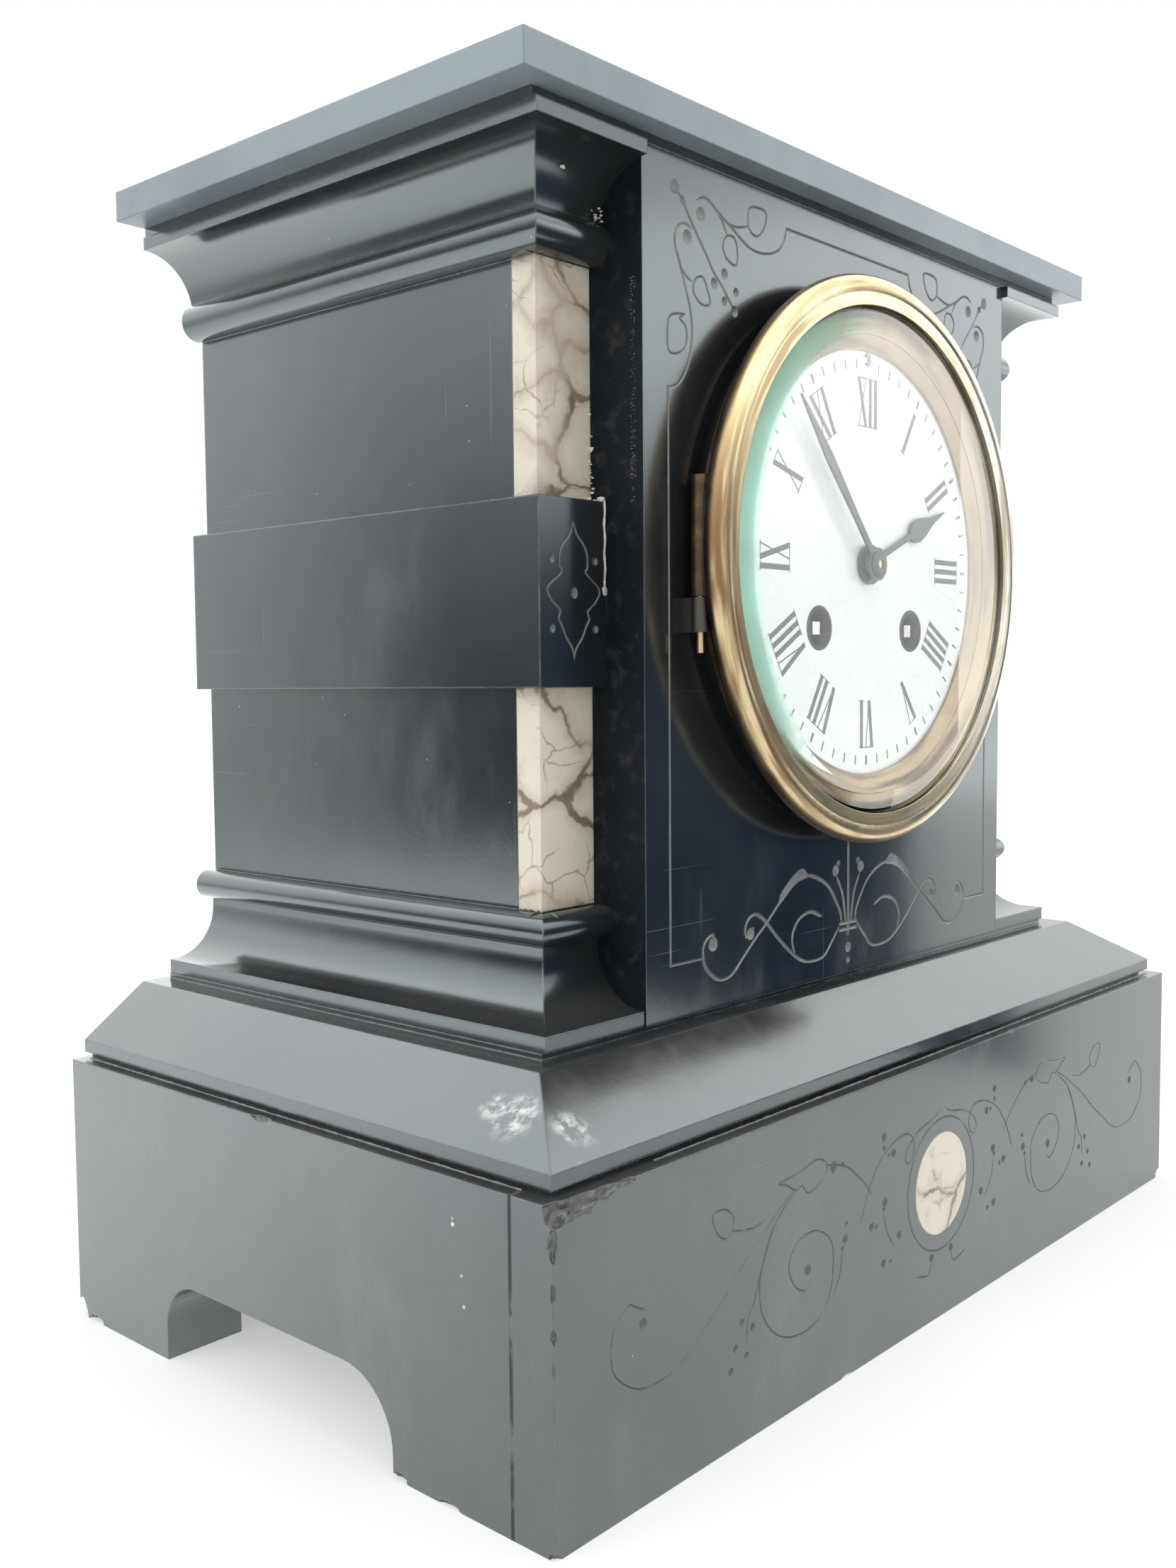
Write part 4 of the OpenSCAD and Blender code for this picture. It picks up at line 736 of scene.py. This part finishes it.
def stone_copies(polished, hazy, light_cut, faint_cut, dark_cut, raw):
    """The engraved and worn copies of the slate parts that need more than a material."""
    corner = -PLINTH_HALF
    top = PLINTH_TOP
    knocks = (
        (corner + 1.5, -0.2, top - 0.5, 4.8, 2.4, 3.8), (corner + 7.5, -0.6, top, 4.8, 1.9, 3.4),
        (corner + 13.5, -0.5, top + 0.3, 4.0, 1.6, 2.2), (corner + 19.5, -0.3, top + 0.3, 2.6, 1.0, 1.3),
        (corner - 0.1, -0.1, top - 6.0, 1.3, 1.2, 3.4), (corner - 0.2, -0.2, 46, 0.9, 0.8, 2.2),
        (corner - 0.2, -0.2, 38.5, 1.0, 0.9, 1.5), (corner - 0.3, -0.3, 33, 0.8, 0.8, 2.0),
        (corner - 0.35, -0.4, 22, 0.6, 0.6, 1.2), (corner, 0, 0, 1.6, 1.4, 1.5),
        (-corner, 0, 0, 2.5, 2.0, 2.2), (-40, 0, -0.2, 2.2, 0.8, 0.7),
        (35, 0, top + 0.2, 2.0, 0.7, 0.6), (72, 0, top + 0.2, 1.2, 0.5, 0.5),
    )
    jobs = (
        ("plinth_front", 0.0, plinth_drawing(), knocks, (hazy, dark_cut)),
        ("front_panel", PANEL_AT, panel_drawing(), (), (polished, light_cut, raw)),
        ("bands", BAND_AT, band_drawing(), (), (polished, faint_cut)),
    )
    for node, depth, drawing, bites, stones in jobs:
        form = engrave(knocked(welded(node), bites), depth, drawing)
        for face in form.faces:
            # The front panel's side faces, in the recesses beside it, take a near-black, barely shiny stone:
            # painted shade.
            if raw in stones and abs(face.normal.x) > 0.99:
                face.material_index = 2
        piece = add_piece(node + "_engraved", form, "case", "slate", *stones)
        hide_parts(node)
    back = depth_of("plinth_sides", 1)
    knocks = (
        (corner, back, 0, 5.2, 3.6, 4.4), (corner, back - 7, 0, 2.4, 3.0, 1.4),
        (corner, 39.5, 0, 1.4, 2.2, 1.6), (corner, 26, 0, 1.0, 3.0, 0.9),
        (corner, 80, top, 0.9, 3.0, 0.8), (-corner, back, 0, 3.0, 2.6, 3.0),
    )
    form = knocked(welded("plinth_sides"), knocks)
    piece = add_piece("plinth_sides_worn", form, "case", "slate", hazy, dark_cut)
    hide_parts("plinth_sides")


# The dial's print
NUMERALS = ("XII", "I", "II", "III", "IIII", "V", "VI", "VII", "VIII", "IX", "X", "XI")
FOOT_R, HEAD_R = 31.5, 42.4
THICK, THIN, SERIF = 0.62, 0.17, 0.14
WIDTHS = {"I": 2.25, "V": 4.2, "X": 4.5}
# Clear space beside a serif, and how far a leaning stroke's middle stays inside its letter.
LETTER_GAP, LEAN_IN = 0.1, 0.75
TICK_FOOT, TICK_HEAD = 44.3, 46.5
HOUR_TICK, MINUTE_TICK = 0.4, 0.25
PRINT_LIFT = 0.03


def flat_form(outlines, depth):
    """One flat form from outlines that may overlap."""
    points = [Vector(p) for outline in outlines for p in outline]
    faces, first = [], 0
    for outline in outlines:
        faces.append(list(range(first, first + len(outline))))
        first += len(outline)
    places, _, triangles, *_ = geometry.delaunay_2d_cdt(points, [], faces, 1, 1e-4)
    spots = np.array([tuple(p) for p in places])
    middles = spots[np.array([tuple(t) for t in triangles])].mean(1)
    drawn = np.zeros(len(triangles), dtype=bool)
    for outline in outlines:
        edges = [[*a, *b] for a, b in zip(outline, outline[1:] + outline[:1])]
        drawn |= inside(middles, np.array(edges))
    form = bmesh.new()
    made = [form.verts.new(at(x, depth, z)) for x, z in places]
    for triangle, wanted in zip(triangles, drawn):
        if wanted:
            form.faces.new([made[i] for i in triangle])
    bmesh.ops.delete(form, geom=[v for v in form.verts if not v.link_faces], context="VERTS")
    bmesh.ops.recalc_face_normals(form, faces=form.faces)
    if form.faces and sum(f.normal.y for f in form.faces) > 0:
        bmesh.ops.reverse_faces(form, faces=form.faces)
    return form


def on_dial(turn, across, radius):
    """Dial place of a point across mm to the right of a radius and radius mm out."""
    x = radius * math.sin(turn) + across * math.cos(turn)
    return (x, DIAL_Z + radius * math.cos(turn) - across * math.sin(turn))


def strip(turn, feet, heads, low, high):
    """A four-sided stroke between two radii, from its left and right places at each."""
    return [on_dial(turn, feet[0], low), on_dial(turn, feet[1], low),
            on_dial(turn, heads[1], high), on_dial(turn, heads[0], high)]


def bar(turn, foot, head, half):
    """A stroke of a numeral, from its place at the foot to its place at the head."""
    return strip(turn, (foot - half, foot + half), (head - half, head + half), FOOT_R, HEAD_R)


def numeral(hour):
    """The outlines of one hour's Roman numeral."""
    turn = math.tau * hour / 12
    letters = NUMERALS[hour]
    start = -sum(WIDTHS[c] for c in letters) / 2
    outlines = []
    for c in letters:
        half = WIDTHS[c] / 2
        middle = start + half
        reach = half - LEAN_IN
        ends = (middle - half + LETTER_GAP, middle + half - LETTER_GAP)
        if c == "I":
            outlines.append(bar(turn, middle, middle, THICK))
        elif c == "V":
            outlines.append(bar(turn, middle, middle - reach, THICK))
            outlines.append(bar(turn, middle, middle + reach, THIN))
        else:
            outlines.append(bar(turn, middle + reach, middle - reach, THICK))
            outlines.append(bar(turn, middle - reach, middle + reach, THIN))
        for radius in (FOOT_R, HEAD_R):
            if c != "V" or radius == HEAD_R:
                outlines.append(strip(turn, ends, ends, radius - SERIF, radius + SERIF))
        start += WIDTHS[c]
    return outlines


def tick(minute):
    """A minute's mark, heavier at each hour."""
    half = MINUTE_TICK if minute % 5 else HOUR_TICK
    return strip(math.tau * minute / 60, (-half, half), (-half, half), TICK_FOOT, TICK_HEAD)


def dial_print(black):
    """Numerals and minute marks, just proud of the enamel."""
    numerals = [outline for hour in range(12) for outline in numeral(hour)]
    ticks = [tick(minute) for minute in range(1, 60)]
    for name, outlines in (("dial_numerals", numerals), ("dial_minute_marks", ticks)):
        add_piece(name, flat_form(outlines, DIAL_FACE - PRINT_LIFT), "case", "enamel", black)


def lathe(profile, turns=128, across=0.0, up=DIAL_Z):
    """A closed profile of radius and depth turned round an axis from front to back."""
    form = bmesh.new()
    rings = []
    for k in range(turns):
        x, z = math.sin(math.tau * k / turns), math.cos(math.tau * k / turns)
        rings.append([form.verts.new(at(across + r * x, depth, up + r * z)) for r, depth in profile])
    for near, far in zip(rings, rings[1:] + rings[:1]):
        for i in range(len(profile)):
            j = (i + 1) % len(profile)
            form.faces.new((near[i], near[j], far[j], far[i]))
    bmesh.ops.recalc_face_normals(form, faces=form.faces)
    return form


def sight_ring_line(gilt):
    """The fine raised line half way down the sight ring's slope."""
    radius, depth, half = 52.0, 19.55, 0.28
    turns = [math.tau * k / 10 for k in range(10)]
    profile = [(radius + half * math.cos(turn), depth + half * math.sin(turn)) for turn in turns]
    add_piece("sight_ring_line", lathe(profile), "bezel", "brass", gilt, smooth=True)


def winding_hole_shade_sleeves(dark):
    """Dark sleeves in the two winding holes that stand in for the shade at their rims and inside them."""
    across, down = 19.8, 15.0
    inner, outer, near, far = 4.25, 4.9, 21.85, 30.0
    profile = [(outer, near), (inner, near), (inner, far), (outer, far)]
    for side, name in ((-1, "strike_hole_liner"), (1, "time_hole_liner")):
        form = lathe(profile, turns=48, across=across * side, up=DIAL_Z - down)
        add_piece(name, form, "case", "steel", dark, smooth=True)


# Plaster and dust
def crumbs(name, spots, material):
    """Small uneven lumps; each spot is a place, its spread along x, depth and z, a count and a size."""
    form = bmesh.new()
    for x, depth, z, *spread, count, size in spots:
        for _ in range(count):
            shift = [random.uniform(-s, s) for s in spread]
            radius = size * random.uniform(0.35, 1.0)
            centre = at(x + shift[0], depth + shift[1], z + shift[2])
            lump(form, centre, (radius, radius, radius * 0.6), rough=0.3, detail=1)
    add_piece(name, form, "case", "marble", material)


def seam_dust(name, start, end, material):
    """A thin uneven bead of dust along a joint."""
    half, deep, step = 0.3, 0.25, 1.2
    form = bmesh.new()
    a, b = at(*start), at(*end)
    run = (b - a).normalized()
    out = Vector((run.y, -run.x, 0.0))
    up = Vector((0, 0, 1))
    steps = max(2, round((b - a).length / MM / step))
    rings = []
    for k in range(steps + 1):
        middle = a.lerp(b, k / steps)
        wide = half * MM * random.uniform(0.35, 1.0)
        proud = deep * MM * random.uniform(0.3, 1.0)
        rings.append([form.verts.new(middle + out * proud * math.sin(turn) + up * wide * math.cos(turn))
                      for turn in (0.0, math.pi / 4, math.pi / 2, 3 * math.pi / 4, math.pi)])
    for near, far in zip(rings, rings[1:]):
        for i in range(4):
            form.faces.new((near[i], near[i + 1], far[i + 1], far[i]))
    add_piece(name, form, "case", "marble", material, smooth=True)


def plaster_work(material, chipped):
    """Plaster left on the band, and dust in the joints that the photograph shows."""
    inner = -PANEL_HALF
    crumbs("plaster_crumbs", (
        (inner - 3, BAND_AT + 1.6, BAND_HIGH + 0.2, 3.0, 1.3, 0.1, 16, 0.55),
        (inner - 0.5, BAND_AT + 0.8, BAND_HIGH + 0.3, 0.6, 0.6, 0.3, 12, 0.8),
        (inner - 9, 41.0, 101.5, 7.0, 1.2, 0.2, 22, 0.5),
        (inner - 15.0, 42.0, 101.5, 1.0, 2.5, 0.2, 10, 0.6),
        (inner - 2.0, 34.6, 238.4, 0.8, 1.6, 1.4, 14, 0.45),
        (-90.3, 32.2, 244.3, 0.5, 0.2, 0.2, 6, 0.5),
        (inner - 0.4, 38.6, BAND_HIGH + 9, 0.3, 0.4, 9.0, 26, 0.5),
    ), material)
    edge = ((inner - 0.05, 27.6, 204.0, 0.05, 0.6, 22.0, 150, 0.2),)
    crumbs("panel_edge_chips", edge, chipped)
    slab_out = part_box("base_slab")[0].x / MM
    slab_at = depth_of("base_slab")
    seam_dust("ledge_dust_front", (-100, slab_at, PLINTH_TOP), (126, slab_at, PLINTH_TOP), chipped)
    seam_dust("ledge_dust_side", (slab_out, 150, PLINTH_TOP), (slab_out, 10, PLINTH_TOP), chipped)
    form = bmesh.new()
    for k in range(40):
        z = BAND_HIGH - 0.47 * k
        wide = 0.3 + 0.08 * math.sin(k * 0.9) + (0.5 if k > 36 else 0.0)
        sway = 0.12 * math.sin(k * 0.5)
        lump(form, at(inner - 0.5 + sway, BAND_AT, z), (wide, 0.35, 0.45), rough=0.12, detail=1)
    add_piece("plaster_drip", form, "case", "marble", material)


# The world round the clock
CAMERA_AT = (-0.30582, -0.24297, 0.14705)
CAMERA_YAW, CAMERA_PITCH, CAMERA_ROLL = 48.055, -3.93, -0.481
SENSOR_HEIGHT, FOCAL_LENGTH = 36.0, 34.61
FLOOR_REACH = 5.0


def add_camera():
    """The photograph's viewpoint, from its own position, aim and field of view."""
    yaw, pitch, roll = (math.radians(a) for a in (CAMERA_YAW, CAMERA_PITCH, CAMERA_ROLL))
    ahead = Vector((math.sin(yaw) * math.cos(pitch), math.cos(yaw) * math.cos(pitch), math.sin(pitch)))
    side = Vector((math.cos(yaw), -math.sin(yaw), 0.0))
    up = side.cross(ahead)
    right = side * math.cos(roll) + up * math.sin(roll)
    top = up * math.cos(roll) - side * math.sin(roll)
    lens = bpy.data.cameras.new("camera")
    lens.sensor_fit = "VERTICAL"
    lens.sensor_height = SENSOR_HEIGHT
    lens.lens = FOCAL_LENGTH
    lens.clip_start = 0.01
    camera = add_object("camera", lens)
    facing = Matrix((right, top, -ahead)).transposed().to_4x4()
    camera.matrix_world = Matrix.Translation(CAMERA_AT) @ facing
    bpy.context.scene.camera = camera


def staged(name, corners, material):
    """A flat stage object."""
    form = bmesh.new()
    form.faces.new([form.verts.new(corner) for corner in corners])
    thing = add_mesh(name, form, material)
    return thing


def add_floor():
    """A pale floor that keeps the clock's shadow and otherwise shows white."""
    material = bpy.data.materials.new("floor")
    n = Nodes(material)
    shader = n.tree.nodes["Principled BSDF"].inputs
    shader["Base Color"].default_value = rgb(0.82, 0.82, 0.82)
    shader["Roughness"].default_value = 0.9
    shader["Specular IOR Level"].default_value = 0.0
    shader["Emission Color"].default_value = rgb(1, 1, 1)
    depth = n.parts(n.node("TexCoord").outputs["Object"])[1]
    mirrored = n.plus(n.ramp(depth, -0.05, 0.2, 0.8, 1.7), n.ramp(depth, 0.3, 0.9, 0.0, -1.0))
    glow = n.blend(n.node("LightPath").outputs["Is Glossy Ray"], 0.42, mirrored)
    n.put(shader["Emission Strength"], n.times(n.seen_or_mirrored(), glow))
    signs = ((-1, -1), (1, -1), (1, 1), (-1, 1))
    staged("floor", [(x * FLOOR_REACH, y * FLOOR_REACH, 0) for x, y in signs], material)


def add_dark_board(name, x, near, far, top, colour, fades):
    """A dark board seen only in the polished stone; fades are rows of axis, full and gone."""
    material = bpy.data.materials.new(name)
    n = Nodes(material)
    n.tree.nodes.remove(n.tree.nodes["Principled BSDF"])
    place = n.parts(n.node("TexCoord").outputs["Object"])
    clear = n.node("BsdfTransparent").outputs[0]
    shown = n.node("Emission", {"Color": rgb(*colour)}).outputs[0]
    for axis, full, gone in fades:
        shown = n.node("MixShader", {0: n.fade(place[axis], full, gone), 1: shown, 2: clear}).outputs[0]
    n.put(n.tree.nodes["Material Output"].inputs[0], shown)
    board = staged(name, [(x, near, 0), (x, far, 0), (x, far, top), (x, near, top)], material)
    board.visible_camera = False
    board.visible_diffuse = False
    board.visible_shadow = False
    board.visible_transmission = False


def add_world():
    """White behind everything, a plain even light, and a ceiling that is brighter in reflections."""
    world = bpy.data.worlds.new("studio")
    bpy.context.scene.world = world
    n = Nodes(world)
    back = n.tree.nodes["Background"].inputs
    back["Color"].default_value = rgb(1, 1, 1)
    _, depth, height = n.parts(n.node("TexCoord").outputs["Generated"])
    wall = n.times(n.ramp(depth, 0.72, 0.92, 0.0, 1.1), n.ramp(height, 0.3, 0.5, 1.0, 0.0))
    ceiling = n.plus(n.ramp(height, 0.05, 0.7, 1.0, 2.9), wall)
    plain = n.blend(n.seen_or_mirrored(), 0.72, 1.0)
    n.put(back["Strength"], n.blend(n.node("LightPath").outputs["Is Glossy Ray"], plain, ceiling))


def add_lamp(name, place, aim, size, radiance):
    """A soft rectangular lamp whose surface shines with the given radiance."""
    lamp = bpy.data.lights.new(name, "AREA")
    lamp.shape = "RECTANGLE"
    lamp.size, lamp.size_y = size
    lamp.energy = radiance * math.pi * size[0] * size[1]
    thing = add_object(name, lamp)
    facing = (Vector(aim) - Vector(place)).to_track_quat("-Z", "Y").to_matrix().to_4x4()
    thing.matrix_world = Matrix.Translation(place) @ facing
    thing.visible_camera = False


def dress(materials, common):
    """Gives each CAD node its material, and the common one to those that aren't listed."""
    chosen = {name: material for names, material in materials for name in names.split()}
    for name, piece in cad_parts.items():
        for place in piece.material_slots:
            place.link = "OBJECT"
            place.material = chosen.get(name, common)


add_camera()
add_floor()
add_dark_board("navy_board", x=0.215, near=-0.48, far=-0.158, top=0.3,
               colour=(0.007, 0.042, 0.105), fades=((2, 0.17, 0.3),))
add_dark_board("grey_board", x=-0.75, near=0.3, far=1.0, top=0.5,
               colour=(0.06, 0.08, 0.09), fades=((2, 0.05, 0.5), (1, 0.6, 1.0)))
add_world()
add_lamp("left_softbox", (-1.3, 0.35, 0.9), aim=(0, 0, 0.13), size=(1.2, 1.0), radiance=1.3)
add_lamp("window", (1.35, -0.95, 0.37), aim=(0, 0, 0.3), size=(1.0, 0.74), radiance=1.65)
add_lamp("top_softbox", (0.1, -0.2, 1.6), aim=(0, 0, 0.1), size=(1.2, 1.2), radiance=0.7)

# A stain, and on the base slab a painted glare highlight, is a place, its reach and its strength.
BASE_GLARE = (
    (-119, 19, 69.5, 6.5, 0.85), (-119, 25, 71, 4.0, 0.7),
    (-115, 10.5, 67, 5.5, 1.0), (-112, 8.5, 64, 4.0, 1.0),
)
SEAM_STAINS = (
    (-130, 24.3, 53.3, 0.6, 1.0), (-130, 24.1, 52.2, 0.6, 1.0),
    (-130, 22, 43.5, 0.5, 1.0), (-130, 21.5, 38, 0.5, 1.0),
)
BLACK = {"dark": (0.014, 0.017, 0.019), "light": (0.026, 0.03, 0.032), "haze": 0.14, "rough": 0.13}
polished = slate("polished_slate", **BLACK)
# The base slab's slate has a painted glare highlight near its left front corner.
stained = slate("glare_painted_slate", **BLACK, marks_and_glare=BASE_GLARE)
hazy = slate("hazy_slate", (0.034, 0.036, 0.036), (0.06, 0.061, 0.059), haze=0.35, rough=0.17,
             marks_and_glare=SEAM_STAINS, seam=depth_of("plinth_sides"))
top_stone = slate("top_slate", (0.22, 0.26, 0.3), (0.3, 0.35, 0.38), haze=0.3, rough=0.3, dust=0.2, ior=1.5)
light_cut = cut_slate("cut_slate", (0.07, 0.08, 0.08), (0.24, 0.25, 0.24), (0.32, 0.32, 0.3))
dark_cut = cut_slate("chipped_slate", (0.012, 0.013, 0.014), (0.11, 0.112, 0.112), (0.2, 0.195, 0.18))
faint_cut = cut_slate("faint_cut_slate", (0.025, 0.03, 0.032), (0.085, 0.09, 0.09), (0.14, 0.14, 0.13))
# A near-black, barely shiny stone for the recesses beside the front panel: painted shade.
raw = cut_slate("recess_shade_slate", (0.004, 0.007, 0.011), (0.01, 0.014, 0.018), (0.03, 0.032, 0.034), ior=1.2)
veined = marble()
gilt = metal("gilt_brass", (0.5, 0.38, 0.2), (0.24, 0.16, 0.09), rough=0.26, stain=0.5)
sight_gilt = metal("sight_gilt", (0.33, 0.245, 0.13), (0.14, 0.085, 0.045), rough=0.3, stain=0.3, turned=0.85)
# The bezel's paler right side and darker lower left are painted reflections, and its back is painted shade.
bezel_gilt = metal("bezel_gilt", (0.64, 0.53, 0.31), (0.17, 0.095, 0.045), rough=0.2, stain=0.4,
                   painted_shade_behind=16.4, turned=0.6, lightened=(0.8, 0.75, 0.62))
brass = metal("clock_brass", (0.66, 0.48, 0.22), (0.28, 0.19, 0.09), rough=0.32, stain=0.65)
bronze = metal("bell_bronze", (0.64, 0.45, 0.25), (0.28, 0.19, 0.1), rough=0.28, stain=0.5)
steel = metal("clock_steel", (0.55, 0.56, 0.57), (0.2, 0.17, 0.15), rough=0.32, stain=0.4)
dark_steel = metal("mount_iron", (0.07, 0.065, 0.06), (0.04, 0.03, 0.025), rough=0.5, stain=0.6)
dress((
    ("plinth_front plinth_sides plinth_back", hazy),
    ("base_slab", stained),
    ("lower_moulding_left lower_moulding_right side_wall_left side_wall_right bands front_panel back_panel "
     "upper_moulding_left upper_moulding_right cornice_slab", polished),
    ("top_slab", top_stone),
    ("plinth_inlay marble_strips", veined),
    ("sight_ring", sight_gilt),
    ("hinge_pins", gilt),
    ("bezel_frame", bezel_gilt),
    ("bezel_glass", bezel_glass_shade()),
    ("dial", enamel()),
    ("hour_hand minute_hand hand_nut", hand_steel()),
    ("mount_ring straps", dark_steel),
    ("bell", bronze),
    ("time_arbor strike_arbor clicks anchor suspension_spring slit_block pendulum_rod regulating_arbor "
     "hammer bell_stand strap_screws", steel),
), brass)
stone_copies(polished, hazy, light_cut, faint_cut, dark_cut, raw)
dial_print(print_black())
sight_ring_line(sight_gilt)
winding_hole_shade_sleeves(dark_steel)
plaster_work(plaster(), light_cut)

bpy.context.scene.view_settings.view_transform = "Standard"
